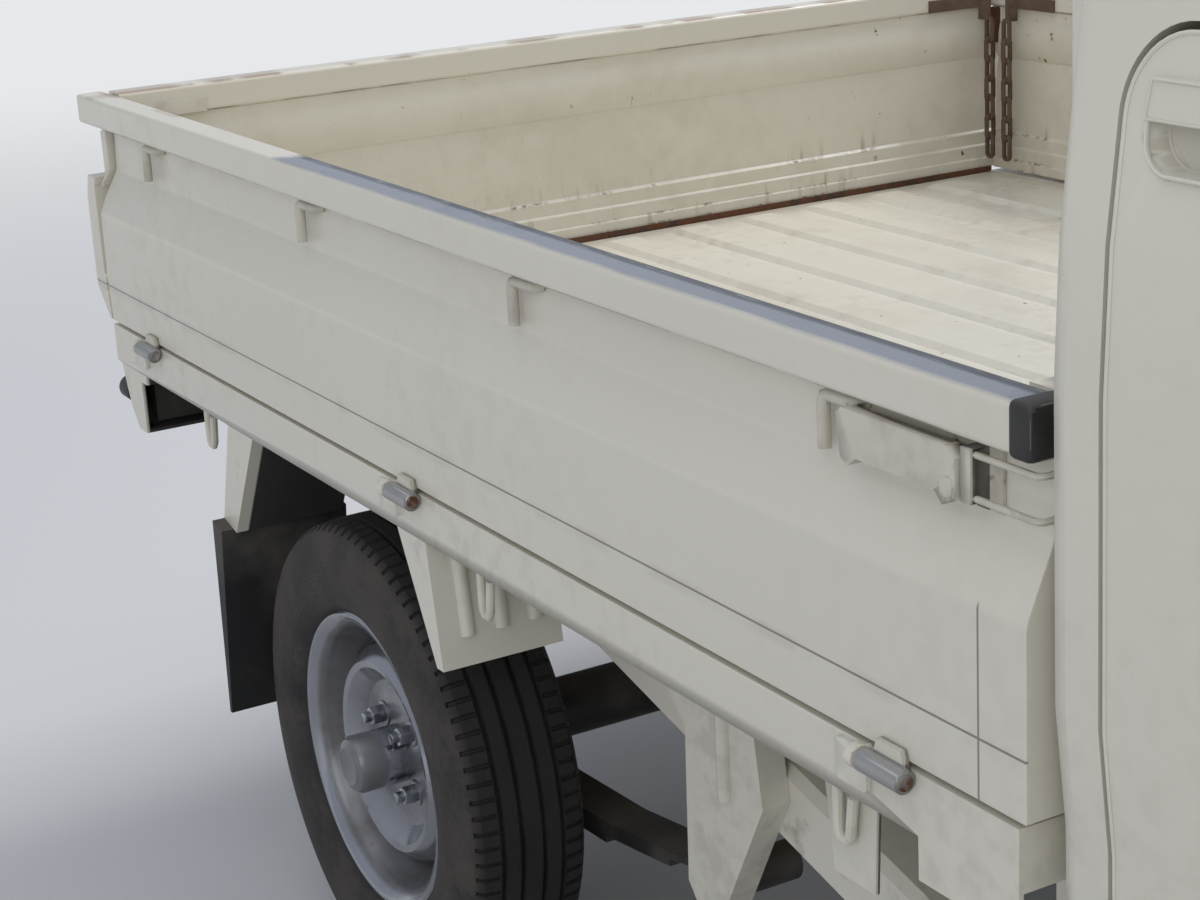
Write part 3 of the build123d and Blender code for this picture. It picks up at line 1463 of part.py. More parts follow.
half_tread = (
    # distance from the middle, radius
    (half_rim - 9.8, rim_radius + 1.0),
    (half_tyre, wall_radius),
    (half_tyre - 8.5, tyre_radius - 8.0),
    (half_tyre - 22.5, tyre_radius),
)
tread = half_tread + tuple((-along, radius) for along, radius in reversed(half_tread))
tread += ((9.8 - half_rim, seat_radius + seat_gap), (half_rim - 9.8, seat_radius + seat_gap))
for name, axle_x, side in corners:
    turning_plane = Plane(origin=(axle_x, side * half_track, axle_height), x_dir=(1, 0, 0), z_dir=(0, side, 0))
    with BuildPart() as rim:
        turned(turning_plane, front_side + outer_side + rear_side)
        with BuildSketch(turning_plane.offset(-42.0)) as bore:
            Circle(spindle_radius + spindle_gap)
        extrude(bore.sketch, amount=42.0 + mount_face + 25.0 + spindle_gap, mode=Mode.SUBTRACT)
    save(rim, f"rim_{name}")
    with BuildPart() as tyre:
        turned(turning_plane, tread, closed=True)
    save(tyre, f"tyre_{name}")
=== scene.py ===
"""The looks of a small drop-side truck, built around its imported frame. Metres, X forward, Z up."""

import json
import math

import bpy
from mathutils import Matrix, Vector

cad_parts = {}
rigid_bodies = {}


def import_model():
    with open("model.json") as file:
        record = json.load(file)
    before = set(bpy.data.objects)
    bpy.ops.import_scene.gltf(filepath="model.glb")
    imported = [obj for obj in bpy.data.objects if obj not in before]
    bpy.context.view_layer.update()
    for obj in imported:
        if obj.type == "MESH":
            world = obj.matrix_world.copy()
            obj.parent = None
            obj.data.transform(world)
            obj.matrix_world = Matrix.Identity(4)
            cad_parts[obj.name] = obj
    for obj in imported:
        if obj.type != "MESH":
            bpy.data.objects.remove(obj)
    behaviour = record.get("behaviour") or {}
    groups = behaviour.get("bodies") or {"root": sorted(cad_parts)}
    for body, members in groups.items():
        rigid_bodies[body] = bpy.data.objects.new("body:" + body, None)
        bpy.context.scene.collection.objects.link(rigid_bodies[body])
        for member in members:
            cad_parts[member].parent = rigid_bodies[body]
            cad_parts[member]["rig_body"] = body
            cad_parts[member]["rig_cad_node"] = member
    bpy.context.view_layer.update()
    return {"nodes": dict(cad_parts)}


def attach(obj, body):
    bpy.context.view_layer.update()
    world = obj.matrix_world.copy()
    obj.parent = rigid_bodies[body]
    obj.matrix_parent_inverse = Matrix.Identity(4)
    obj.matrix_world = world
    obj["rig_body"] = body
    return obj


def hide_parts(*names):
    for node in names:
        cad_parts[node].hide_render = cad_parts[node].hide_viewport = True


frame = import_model()
nodes = frame["nodes"]

# Camera, placed as it stood for the photograph
CAMERA_PLACE = (1.2242, -1.6424, 1.3541)
CAMERA_YAW = math.radians(150.76)
CAMERA_PITCH = math.radians(-17.17)
CAMERA_ROLL = math.radians(-3.22)
CAMERA_LENS = 70.95


def make_camera():
    """The camera, from its heading, tilt and roll."""
    ahead = Vector(
        (
            math.cos(CAMERA_YAW) * math.cos(CAMERA_PITCH),
            math.sin(CAMERA_YAW) * math.cos(CAMERA_PITCH),
            math.sin(CAMERA_PITCH),
        )
    )
    level = Vector((math.sin(CAMERA_YAW), -math.cos(CAMERA_YAW), 0.0))
    upright = level.cross(ahead)
    right = math.cos(CAMERA_ROLL) * level + math.sin(CAMERA_ROLL) * upright
    up = -math.sin(CAMERA_ROLL) * level + math.cos(CAMERA_ROLL) * upright
    data = bpy.data.cameras.new("camera")
    data.lens = CAMERA_LENS
    data.sensor_width = 36.0
    data.clip_end = 100.0
    camera = bpy.data.objects.new("camera", data)
    turn = Matrix((right, up, -ahead)).transposed().to_4x4()
    camera.matrix_world = Matrix.Translation(CAMERA_PLACE) @ turn
    bpy.context.scene.collection.objects.link(camera)
    bpy.context.scene.camera = camera


# Materials


def join(tree, value, slot):
    """Feed a socket from a wire, a number or a colour."""
    if isinstance(value, Wire):
        tree.links.new(value.socket, slot)
    elif isinstance(value, (tuple, list)) and len(value) == 3 and len(slot.default_value) == 4:
        slot.default_value = (*value, 1.0)
    else:
        slot.default_value = value


class Wire:
    """A socket of a material that takes part in sums as a number does."""

    def __init__(self, tree, socket):
        self.tree = tree
        self.socket = socket

    def sum(self, operation, *values, first=None):
        node = self.tree.nodes.new("ShaderNodeMath")
        node.operation = operation
        terms = (self, *values) if first is None else (first, self)
        for slot, value in zip(node.inputs, terms):
            join(self.tree, value, slot)
        return Wire(self.tree, node.outputs[0])

    def __add__(self, other):
        return self.sum("ADD", other)

    def __sub__(self, other):
        return self.sum("SUBTRACT", other)

    def __mul__(self, other):
        return self.sum("MULTIPLY", other)

    def __rsub__(self, other):
        return self.sum("SUBTRACT", first=other)

    __radd__ = __add__
    __rmul__ = __mul__

    def ramp(self, low, high):
        """0 below low, 1 above high and a soft step between; low may be the larger."""
        node = self.tree.nodes.new("ShaderNodeMapRange")
        node.interpolation_type = "SMOOTHSTEP"
        reverse = low > high
        ends = (high, low) if reverse else (low, high)
        join(self.tree, self, node.inputs[0])
        node.inputs[1].default_value, node.inputs[2].default_value = ends
        node.inputs[3].default_value, node.inputs[4].default_value = (1.0, 0.0) if reverse else (0.0, 1.0)
        return Wire(self.tree, node.outputs[0])

    def band(self, middle, half, soft):
        """1 within half of the middle, fading out over soft."""
        return (self - middle).sum("ABSOLUTE").ramp(half + soft, half)


class Finish:
    """A material under construction, with its tone so far."""

    def __init__(self, name, tone):
        self.tone = tone
        self.material = bpy.data.materials.new(name)
        self.material.use_nodes = True
        self.tree = self.material.node_tree
        self.shader = self.tree.nodes["Principled BSDF"]
        self.place = self.node("ShaderNodeTexCoord", {}, {}, "Object")
        axes = self.node("ShaderNodeSeparateXYZ", {}, {0: self.place}, None)
        self.x, self.y, self.z = (Wire(self.tree, socket) for socket in axes.outputs)

    def node(self, kind, settings, inputs, output=0):
        """A node with its settings and inputs; its output, or the node itself if output is None."""
        node = self.tree.nodes.new(kind)
        for key, value in settings.items():
            setattr(node, key, value)
        for key, value in inputs.items():
            join(self.tree, value, node.inputs[key])
        return node if output is None else Wire(self.tree, node.outputs[output])

    def noise(self, scale, detail, stretch=None):
        """Soft noise, its scale multiplied along the axes by a stretch."""
        place = self.place
        if stretch:
            place = self.node("ShaderNodeVectorMath", {"operation": "MULTIPLY"}, {0: place, 1: stretch})
        inputs = {"Vector": place, "Scale": scale, "Detail": detail, "Roughness": 0.55}
        return self.node("ShaderNodeTexNoise", {}, inputs, "Fac")

    def cells(self, scale):
        inputs = {"Vector": self.place, "Scale": scale}
        return self.node("ShaderNodeTexVoronoi", {"feature": "F1"}, inputs, "Distance")

    def ribs(self, axis, scale):
        """Even waves along an axis."""
        inputs = {"Vector": self.place, "Scale": scale, "Distortion": 0.0}
        return self.node("ShaderNodeTexWave", {"bands_direction": axis}, inputs, "Fac")

    def mix(self, share, first, second):
        return self.node("ShaderNodeMix", {"data_type": "RGBA"}, {0: share, 6: first, 7: second}, 2)

    def over(self, share, tone):
        """Lay a share of another tone over the tone so far."""
        self.tone = self.mix(share, self.tone, tone)

    def facing_up(self):
        normal = self.node("ShaderNodeNewGeometry", {}, {}, "Normal")
        axes = self.node("ShaderNodeSeparateXYZ", {}, {0: normal}, None)
        return Wire(self.tree, axes.outputs[2])

    def wheel_radius(self):
        """Distance from the axle of the wheel that a point belongs to."""
        ahead = self.x.ramp(-0.05, 0.05)
        run = self.x - REAR_AXLE - ahead * (FRONT_AXLE - REAR_AXLE)
        rise = self.z - AXLE_HEIGHT
        return (run * run + rise * rise).sum("SQRT")

    def done(self, relief=None, strength=0.0, distance=0.001, **values):
        """The material, given its relief and other values of the shader, by name with _ for a space."""
        values["Base_Color"] = self.tone
        if relief is not None:
            inputs = {"Height": relief, "Strength": strength, "Distance": distance}
            values["Normal"] = self.node("ShaderNodeBump", {}, inputs)
        for key, value in values.items():
            join(self.tree, value, self.shader.inputs[key.replace("_", " ")])
        return self.material


IVORY = (0.7, 0.658, 0.548)
IVORY_PALE = (0.735, 0.7, 0.605)
IVORY_DULL = (0.63, 0.592, 0.495)
GRIME = (0.25, 0.208, 0.15)
SMUDGE = (0.46, 0.385, 0.27)
SCRATCH = (0.2, 0.165, 0.125)
RUST = (0.17, 0.062, 0.022)
RUST_DARK = (0.06, 0.03, 0.018)
RUST_PALE = (0.36, 0.2, 0.1)
# Painted reflection of the sky on the rail's top
PAINTED_SKY_SHEEN = (0.105, 0.135, 0.205)
BARE = (0.022, 0.024, 0.03)
# Painted shade in the gates' creases
SHADED_CREASE = (0.2, 0.18, 0.15)
AMBER = (0.62, 0.19, 0.012)
HAZE = (0.8, 0.81, 0.83, 1.0)

# Where the paints change. Sides and faces are distances from the middle plane.
BED_SIDE = 0.706
BED_REAR = -1.664
BED_FRONT = 0.114
CREASE_HEIGHT = 0.698
END_CREASE = 0.0917
END_CREASE_TOP = 0.79
GATE_FACE = 0.733
GATE_REAR = -1.694
RUST_HEIGHTS = (0.6545, 0.669, 0.7085)
WEAR_AND_SHEEN_FROM = -0.99
RAIL_FOOT = 0.902
CHAIN_SIDE = 0.6975
CHAIN_FRONT = -1.45
BARREL_TOP = 0.6515
KEEPER_PLACE = 0.074
BEHIND_WHEEL = -1.63
BEFORE_WHEEL = -1.1
SIGNAL_SIDE = 0.664
TAIL_FIELDS = (0.586, 0.655)
REAR_AXLE = -1.001
FRONT_AXLE = 0.899
AXLE_HEIGHT = 0.27
HALF_TRACK = 0.65


def dimmed(tone, share):
    return tuple(share * part for part in tone)


def load_side(paint):
    """1 on the faces of the gates and the headboard that look into the bed."""
    inward = paint.y.sum("ABSOLUTE").ramp(BED_SIDE + 0.0035, BED_SIDE)
    behind = paint.x.ramp(BED_REAR - 0.008, BED_REAR)
    return inward * behind * paint.x.ramp(BED_FRONT + 0.006, BED_FRONT)


def add_load_wear(paint, relief, foot_rust):
    """Smudges, scratches and chips on the sides that face the bed, and rust along some heights."""
    inside = load_side(paint)
    smudge = (paint.noise(3.2, 5.0) * 0.7 + paint.noise(24.0, 3.0) * 0.3).ramp(0.44, 0.66)
    paint.over(smudge * inside * 0.26, SMUDGE)
    lines = paint.noise(1.0, 2.0, (5.0, 700.0, 700.0)).ramp(0.675, 0.715)
    lines = lines * paint.noise(5.0, 2.0).ramp(0.5, 0.62)
    slants = paint.noise(1.0, 2.0, (230.0, 420.0, 46.0)).ramp(0.7, 0.74)
    slants = slants * paint.noise(6.0, 2.0).ramp(0.52, 0.64)
    marks = (lines * 0.8 + slants).sum("MINIMUM", 1.0) * inside
    paint.over(marks * 0.75, SCRATCH)
    chips = paint.noise(55.0, 2.0).ramp(0.715, 0.745) * paint.noise(4.0, 2.0).ramp(0.52, 0.62) * inside
    paint.over(chips, paint.mix(paint.noise(160.0, 2.0).ramp(0.4, 0.6), RUST, RUST_DARK))
    for height in foot_rust:
        run = paint.noise(19.0, 4.0, (1.0, 1.0, 0.4)).ramp(0.47, 0.62) * inside
        broken = paint.noise(130.0, 4.0).ramp(0.4, 0.62)
        line = paint.z.band(height, 0.0006, 0.0022) * run * broken
        stain = paint.z.ramp(height - 0.004, height) * paint.z.ramp(height + 0.034, height)
        streaks = paint.noise(60.0, 3.0, (1.0, 1.0, 0.1)).ramp(0.5, 0.68)
        paint.over(stain * streaks * run * 0.45, RUST)
        paint.over(line * 0.75, paint.mix(broken, RUST, RUST_DARK))
    return relief - marks * 0.5 - chips


def add_creases(paint, relief):
    """The creases along a gate's foot and beside its front end, drawn as dark lines of painted shade, with
    grime along the first.
    """
    across = paint.y.sum("ABSOLUTE")
    outside = across.ramp(GATE_FACE - 0.002, GATE_FACE)
    faces = across.ramp(GATE_FACE - 0.0005, GATE_FACE + 0.001) + paint.x.ramp(GATE_REAR, GATE_REAR - 0.002)
    level = paint.z.band(CREASE_HEIGHT, 0.0006, 0.0008) * faces
    upright = paint.x.band(END_CREASE, 0.0006, 0.0008) * outside
    upright = upright * paint.z.ramp(END_CREASE_TOP + 0.006, END_CREASE_TOP)
    crease_shade = (level + upright).sum("MINIMUM", 1.0)
    grimy = paint.z.band(CREASE_HEIGHT - 0.0015, 0.003, 0.006) * outside
    grimy = grimy * paint.noise(16.0, 3.0).ramp(0.4, 0.6)
    paint.over(grimy * 0.14, GRIME)
    # Painted shade: a dark line along each crease, over its dent in the relief
    paint.over(crease_shade * 0.88, SHADED_CREASE)
    return relief - crease_shade * 2.0


def add_rail_wear_and_sheen(paint, relief, rough):
    """Bare steel on the front of the right rail's top, a painted slate reflection of the sky beside it, and
    rust on inner rims and under the rail.
    """
    across = paint.y.sum("ABSOLUTE")
    up = paint.facing_up().ramp(0.5, 0.8)
    ragged = paint.noise(14.0, 5.0, (0.5, 2.0, 1.0))
    start = (paint.x + ragged * 0.09).ramp(WEAR_AND_SHEEN_FROM - 0.038, WEAR_AND_SHEEN_FROM) * paint.y.ramp(-0.6, -0.65)
    inner_edge = (across + ragged * 0.01).ramp(0.719, 0.713)
    outer_edge = (across - ragged * 0.004).ramp(0.7325, 0.7265)
    wear_and_sheen = up * start
    # Painted reflection: a slate film of sky over the top face of the rail's front; bare steel then covers
    # its inner edge
    paint.over(wear_and_sheen * outer_edge * 0.8, PAINTED_SKY_SHEEN)
    paint.over(wear_and_sheen * inner_edge * 0.92, BARE)
    scrapes = paint.noise(1.0, 2.0, (16.0, 520.0, 60.0)).ramp(0.64, 0.69) * wear_and_sheen * inner_edge
    paint.over(scrapes * 0.75, (0.4, 0.4, 0.4))
    rims = across.ramp(0.7135, 0.7075) + paint.x.ramp(-1.672, -1.665) * paint.x.ramp(-1.6, -1.65)
    rims = up * rims * (1.0 - start) * paint.noise(11.0, 5.0, (0.6, 1.0, 1.0)).ramp(0.47, 0.58)
    paint.over(rims * 0.34, paint.mix(paint.noise(120.0, 2.0), RUST, RUST_PALE))
    under_edge = paint.z.band(RAIL_FOOT, 0.0006, 0.0012) * paint.noise(9.0, 4.0).ramp(0.44, 0.6)
    paint.over(under_edge * 0.6, RUST_DARK)
    return relief - wear_and_sheen * inner_edge * 0.8, rough - wear_and_sheen * outer_edge * 0.1


def ivory(name, dirt, specks, loaded=False, foot_rust=(), creased=False, rail_wear_and_sheen=False, shade_within=0.0):
    """Old ivory paint: clean outside, scratched and rusty by the load on the sides that face the bed."""
    paint = Finish(name, IVORY)
    paint.over(paint.noise(2.2, 4.0), IVORY_PALE)
    film = (paint.noise(5.0, 6.0, (1.0, 1.0, 0.25)) * paint.noise(38.0, 3.0)).ramp(0.24, 0.42)
    paint.over(film * (paint.z.ramp(0.95, 0.35) * 0.55 + 0.15) * dirt, GRIME)
    spots = paint.noise(95.0, 2.0).ramp(0.74, 0.775) * paint.noise(7.0, 2.0).ramp(0.5, 0.64) * specks
    paint.over(spots, RUST)
    rough = 0.34 + film * 0.2
    relief = paint.noise(420.0, 2.0) * 0.25
    if loaded:
        relief = add_load_wear(paint, relief, foot_rust)
    if creased:
        relief = add_creases(paint, relief)
    if rail_wear_and_sheen:
        relief, rough = add_rail_wear_and_sheen(paint, relief, rough)
    if shade_within:
        # Painted shade: near-black on the inner faces from just behind the rear axle to the rear panel's
        # back; in the rear panel's channel it is shade alone, in the wheel guards it stands for a dark liner
        # and the shade under the bed
        inner_shade = paint.y.sum("ABSOLUTE").ramp(shade_within, shade_within - 0.003)
        inner_shade = inner_shade * paint.x.ramp(BEFORE_WHEEL, BEFORE_WHEEL - 0.02)
        inner_shade = inner_shade * paint.x.ramp(BEHIND_WHEEL - 0.002, BEHIND_WHEEL)
        paint.over(inner_shade * 0.97, paint.mix(film, (0.018, 0.017, 0.017), (0.06, 0.052, 0.045)))
        rough = rough + inner_shade * 0.3
    return paint.done(relief, 0.25, Roughness=rough, Coat_Weight=0.3, Coat_Roughness=0.16)


def gate_fittings():
    """Painted hooks and latches, rusty at their roots, with grey hinge barrels and rusty chains."""
    steel = Finish("gate_fittings", IVORY_DULL)
    across = steel.y.sum("ABSOLUTE")
    chains = steel.x.ramp(CHAIN_FRONT, CHAIN_FRONT - 0.05) * across.ramp(CHAIN_SIDE + 0.002, CHAIN_SIDE)
    chains = chains * steel.z.ramp(0.655, 0.665)
    chains = chains * (1.0 - steel.y.ramp(-0.5, -0.52) * steel.z.ramp(0.888, 0.892))
    barrels = steel.z.ramp(BARREL_TOP + 0.002, BARREL_TOP)
    roots = across.ramp(0.719, 0.713) + steel.x.ramp(0.098, 0.112) * 0.5
    keeper_rust_and_shade = steel.x.band(KEEPER_PLACE, 0.006, 0.001) * across.ramp(0.729, 0.727)
    patches = steel.noise(26.0, 5.0) * 0.75 + steel.noise(170.0, 3.0) * 0.25
    rust = (chains * 0.3 + roots * 0.09 + patches * 0.8).ramp(0.53, 0.63)
    steel.over(steel.noise(30.0, 4.0).ramp(0.4, 0.75) * 0.6, (0.4, 0.36, 0.29))
    steel.over(barrels, steel.mix(steel.noise(12.0, 4.0), (0.5, 0.5, 0.49), (0.33, 0.325, 0.31)))
    # Near-black on the latch's keeper: dark rust, and painted shade of the hollow inside the latch
    steel.over(keeper_rust_and_shade * 0.9, (0.05, 0.042, 0.036))
    steel.over(rust, steel.mix(steel.noise(200.0, 2.0), RUST, RUST_DARK))
    chain_tone = steel.mix(steel.noise(60.0, 3.0), (0.07, 0.036, 0.02), (0.165, 0.13, 0.1))
    steel.over(chains * 0.75, chain_tone)
    relief = steel.noise(300.0, 2.0) * 0.3 + rust * 0.6
    return steel.done(relief, 0.3, Metallic=barrels * (1.0 - rust) * 0.75, Roughness=0.42 + rust * 0.38)


def bare_steel(name, tone, rust, roughness, metallic):
    """Dull zinc or silver with brown rust in patches."""
    steel = Finish(name, tone)
    patches = steel.noise(30.0, 5.0) + steel.noise(160.0, 3.0) * 0.25
    patches = patches.ramp(0.74 - 0.22 * rust, 0.82 - 0.16 * rust)
    dulled = steel.noise(12.0, 4.0).ramp(0.35, 0.7)
    steel.over(dulled * 0.5, dimmed(tone, 0.55))
    steel.over(patches, steel.mix(steel.noise(220.0, 2.0), RUST, RUST_DARK))
    return steel.done(
        steel.noise(300.0, 2.0) * 0.3 + patches * 0.6,
        0.3,
        Metallic=metallic * (1.0 - patches * 0.9),
        Roughness=(patches * 0.4 + roughness + dulled * 0.12).sum("MINIMUM", 0.95),
    )


def plastic(name, tone, roughness, grain=900.0, dust=0.35):
    """Grained plastic or rubber under some dust."""
    cover = Finish(name, tone)
    film = (cover.noise(6.0, 5.0) + cover.facing_up() * 0.12).ramp(0.42, 0.72) * dust
    cover.over(film, (0.3, 0.27, 0.23))
    return cover.done(cover.cells(grain), 0.25, 0.0006, Roughness=roughness + film * 0.2)


def road_black():
    """Black underbody paint with road dirt on what faces up, and rust."""
    cover = Finish("road_black", (0.022, 0.021, 0.02))
    dirt = (cover.noise(9.0, 6.0) + cover.facing_up() * 0.16).ramp(0.42, 0.74) * 0.6
    cover.over(cover.noise(22.0, 5.0).ramp(0.6, 0.7) * 0.6, RUST_DARK)
    cover.over(dirt, (0.15, 0.125, 0.1))
    return cover.done(cover.noise(140.0, 4.0) + dirt * 0.5, 0.4, Roughness=0.5 + dirt * 0.4)


def tyre_rubber():
    """Dusty tyre rubber: brown and finely ringed on the side wall, darker on the tread."""
    rubber = Finish("tyre_rubber", (0.0125, 0.0118, 0.0118))
    wall = (rubber.y.sum("ABSOLUTE") - HALF_TRACK).sum("ABSOLUTE").ramp(0.056, 0.066)
    dust = (rubber.noise(16.0, 6.0) * 0.7 + rubber.noise(140.0, 3.0) * 0.3).ramp(0.3, 0.66)
    rubber.over(dust * (wall * 0.45 + 0.14), (0.105, 0.086, 0.072))
    radius = rubber.wheel_radius()
    rings = (radius * 1250.0).sum("SINE") * radius.band(0.216, 0.011, 0.002) * 0.5
    rings = rings + radius.band(0.1925, 0.0016, 0.001) + radius.band(0.2345, 0.0012, 0.001)
    sipes = rubber.noise(1.0, 1.0, (90.0, 900.0, 90.0)).ramp(0.6, 0.66) * radius.ramp(0.262, 0.265)
    relief = rubber.noise(600.0, 3.0) * 0.3 + rings * wall - sipes
    return rubber.done(relief, 0.45, 0.0012, Roughness=0.66 + dust * 0.2)


def wheel_silver():
    """Bright silver on a pressed steel wheel, with some brake dust, and painted shade in its well and on its
    inner side.
    """
    silver = Finish("wheel_silver", (0.42, 0.43, 0.46))
    dust = silver.noise(22.0, 6.0).ramp(0.4, 0.8)
    across = silver.y.sum("ABSOLUTE")
    radius = silver.wheel_radius()
    # Painted shade: the well between flange and crest and the wheel's inner side, darkened and dulled
    well_shade = radius.band(0.14, 0.0115, 0.005) * 0.85 + across.ramp(0.69, 0.662) * 0.6
    well_shade = well_shade.sum("MINIMUM", 1.0)
    cap = radius.ramp(0.0345, 0.0335) * across.ramp(0.7, 0.706)
    pits = silver.noise(70.0, 3.0).ramp(0.69, 0.76)
    silver.over(silver.noise(5.0, 2.0), (0.32, 0.33, 0.36))
    silver.over((dust * 0.22 + well_shade * 0.68).sum("MINIMUM", 0.9), (0.085, 0.074, 0.064))
    silver.over(cap * 0.75, (0.15, 0.148, 0.146))
    silver.over(pits * 0.5, RUST)
    return silver.done(
        silver.noise(500.0, 2.0) + pits,
        0.12,
        Metallic=0.95 - cap * 0.45 - well_shade * 0.35,
        Roughness=0.13 + dust * 0.14 + well_shade * 0.25 + cap * 0.2,
        Coat_Weight=0.2,
    )


def glass():
    """Tinted safety glass that lets the cabin show."""
    pane = Finish("safety_glass", (0.045, 0.06, 0.06))
    smear = pane.noise(4.0, 4.0).ramp(0.4, 0.7)
    return pane.done(Roughness=0.02 + smear * 0.05, Alpha=0.24 + smear * 0.03, IOR=1.5)


def headlamp_glass():
    """A clear fluted lens over the bowl, amber at its outer end."""
    lens = Finish("headlamp_glass", (0.7, 0.72, 0.73))
    across = lens.y.sum("ABSOLUTE")
    ribs = lens.ribs("Y", 26.0)
    turn_signal = across.ramp(SIGNAL_SIDE, SIGNAL_SIDE + 0.0025)
    divider = across.band(SIGNAL_SIDE, 0.0022, 0.0008)
    lens.over(ribs * 0.25, (0.52, 0.54, 0.56))
    lens.over(turn_signal, lens.mix(ribs * 0.4, AMBER, (0.42, 0.115, 0.008)))
    lens.over(divider, (0.06, 0.06, 0.06))
    cover = 0.4 + turn_signal * 0.45 + divider * 0.2
    return lens.done(ribs, 0.35, Roughness=0.08, Alpha=cover, Coat_Weight=0.8)


def tail_lamp_glass():
    """Three fields side by side: amber outside, red between, clear inside."""
    lens = Finish("tail_lamp_glass", (0.4, 0.014, 0.012))
    across = lens.y.sum("ABSOLUTE")
    ribs = lens.ribs("Y", 60.0)
    inner, outer = TAIL_FIELDS
    lens.over(ribs * 0.4, (0.25, 0.008, 0.007))
    lens.over(across.ramp(outer - 0.001, outer + 0.001), lens.mix(ribs * 0.4, AMBER, (0.44, 0.12, 0.01)))
    clear = lens.mix(ribs * 0.4, (0.66, 0.66, 0.65), (0.44, 0.44, 0.44))
    lens.over(across.ramp(inner + 0.001, inner - 0.001), clear)
    dividers = across.band(outer, 0.0016, 0.0006) + across.band(inner, 0.0016, 0.0006)
    lens.over(dividers, (0.035, 0.01, 0.01))
    return lens.done(ribs, 0.5, Roughness=0.12, Coat_Weight=0.8)


def amber_glass():
    """A small ribbed lens."""
    lens = Finish("amber_lens", AMBER)
    ribs = lens.ribs("X", 60.0)
    lens.over(ribs * 0.35, dimmed(AMBER, 0.6))
    return lens.done(ribs, 0.4, Roughness=0.12, Coat_Weight=0.8)


def bowl_chrome():
    """The bright bowl behind a lens."""
    bright = Finish("bowl_chrome", (0.8, 0.81, 0.83))
    dim = bright.noise(30.0, 3.0).ramp(0.4, 0.8)
    bright.over(dim, (0.62, 0.63, 0.65))
    return bright.done(bright.noise(90.0, 1.0), 0.08, Metallic=1.0, Roughness=0.1 + dim * 0.1)


def seat_cloth():
    """Woven seat cloth."""
    cloth = Finish("seat_cloth", (0.05, 0.052, 0.058))
    weave = cloth.noise(900.0, 2.0) * 0.5 + cloth.noise(240.0, 2.0) * 0.5
    cloth.over(weave, (0.125, 0.128, 0.138))
    return cloth.done(weave, 0.5, Roughness=0.9, Sheen_Weight=0.3)


SKIN = {
    "cab": ivory("cab_ivory", 0.25, 0.04),
    "gate": ivory("gate_ivory", 0.18, 0.1, loaded=True, foot_rust=RUST_HEIGHTS, creased=True),
    "rail": ivory("rail_ivory", 0.2, 0.15, rail_wear_and_sheen=True),
    "bed": ivory("bed_ivory", 0.5, 0.5, loaded=True),
    "sill": ivory("sill_ivory", 0.35, 0.2),
    "arch": ivory("arch_ivory", 0.6, 0.3, shade_within=0.722),
    "panel": ivory("panel_ivory", 0.5, 0.2, shade_within=0.7335),
    "frame": ivory("frame_ivory", 1.2, 0.5),
    "fittings": gate_fittings(),
    "pin": bare_steel("worn_pin", (0.34, 0.32, 0.3), 0.55, 0.5, 0.7),
    "seam": bare_steel("rusty_seam", (0.075, 0.048, 0.032), 1.0, 0.85, 0.1),
    "exhaust": bare_steel("exhaust_steel", (0.115, 0.09, 0.072), 0.8, 0.62, 0.5),
    "engine": bare_steel("cast_metal", (0.3, 0.3, 0.3), 0.35, 0.6, 0.5),
    "under": road_black(),
    "flap": plastic("flap_rubber", (0.016, 0.016, 0.016), 0.62, 500.0, 0.3),
    "cap": plastic("cap_rubber", (0.018, 0.018, 0.019), 0.5, 700.0, 0.15),
    "mirror": plastic("black_plastic", (0.02, 0.02, 0.021), 0.45),
    "bumper": plastic("bumper_plastic", (0.06, 0.061, 0.064), 0.55, 900.0, 0.12),
    "cabin": plastic("cabin_plastic", (0.075, 0.076, 0.08), 0.6, 1100.0, 0.12),
    "tyre": tyre_rubber(),
    "wheel": wheel_silver(),
    "glass": glass(),
    "lamp": headlamp_glass(),
    "bowl": bowl_chrome(),
    "tail": tail_lamp_glass(),
    "amber": amber_glass(),
    "seat": seat_cloth(),
}

NODE_SKIN = {
    "cab": ("cab_shell", "door_right", "door_left"),
    "gate": ("gate_right", "gate_left", "tailgate", "headboard"),
    "rail": ("gate_rail_right", "gate_rail_left", "tailgate_rail"),
    "bed": ("bed_floor",),
    "sill": ("bed_sills", "spring_hangers"),
    "panel": ("rear_panel",),
    "arch": ("wheel_guards",),
    "frame": ("frame",),
    "fittings": ("gate_fittings_right", "gate_fittings_left", "tailgate_fittings"),
    "exhaust": ("exhaust",),
    "engine": ("engine",),
    "under": (
        "rear_axle", "leaf_springs", "propshaft", "front_suspension",
        "knuckle_right", "knuckle_left", "fuel_tank", "steering_column",
    ),
    "flap": ("mudflaps",),
    "mirror": ("door_mirror_right", "door_mirror_left"),
    "bumper": ("front_bumper",),
    "cabin": ("dashboard", "cab_floor", "steering_wheel"),
    "glass": ("cab_glass", "door_glass_right", "door_glass_left"),
    "lamp": ("front_lamps",),
    "tail": ("rear_lamps",),
    "seat": ("seat_right", "seat_left"),
    "tyre": ("tyre_fl", "tyre_fr", "tyre_rl", "tyre_rr"),
    "wheel": ("rim_fl", "rim_fr", "rim_rl", "rim_rr"),
}
for skin, names in NODE_SKIN.items():
    for name in names:
        nodes[name].data.materials.clear()
        nodes[name].data.materials.append(SKIN[skin])


# Modelling helpers


def deselect():
    if bpy.context.mode != "OBJECT":
        bpy.ops.object.mode_set(mode="OBJECT")
    bpy.ops.object.select_all(action="DESELECT")


def activate(piece):
    """Select one piece alone and make it active."""
    deselect()
    piece.select_set(True)
    bpy.context.view_layer.objects.active = piece


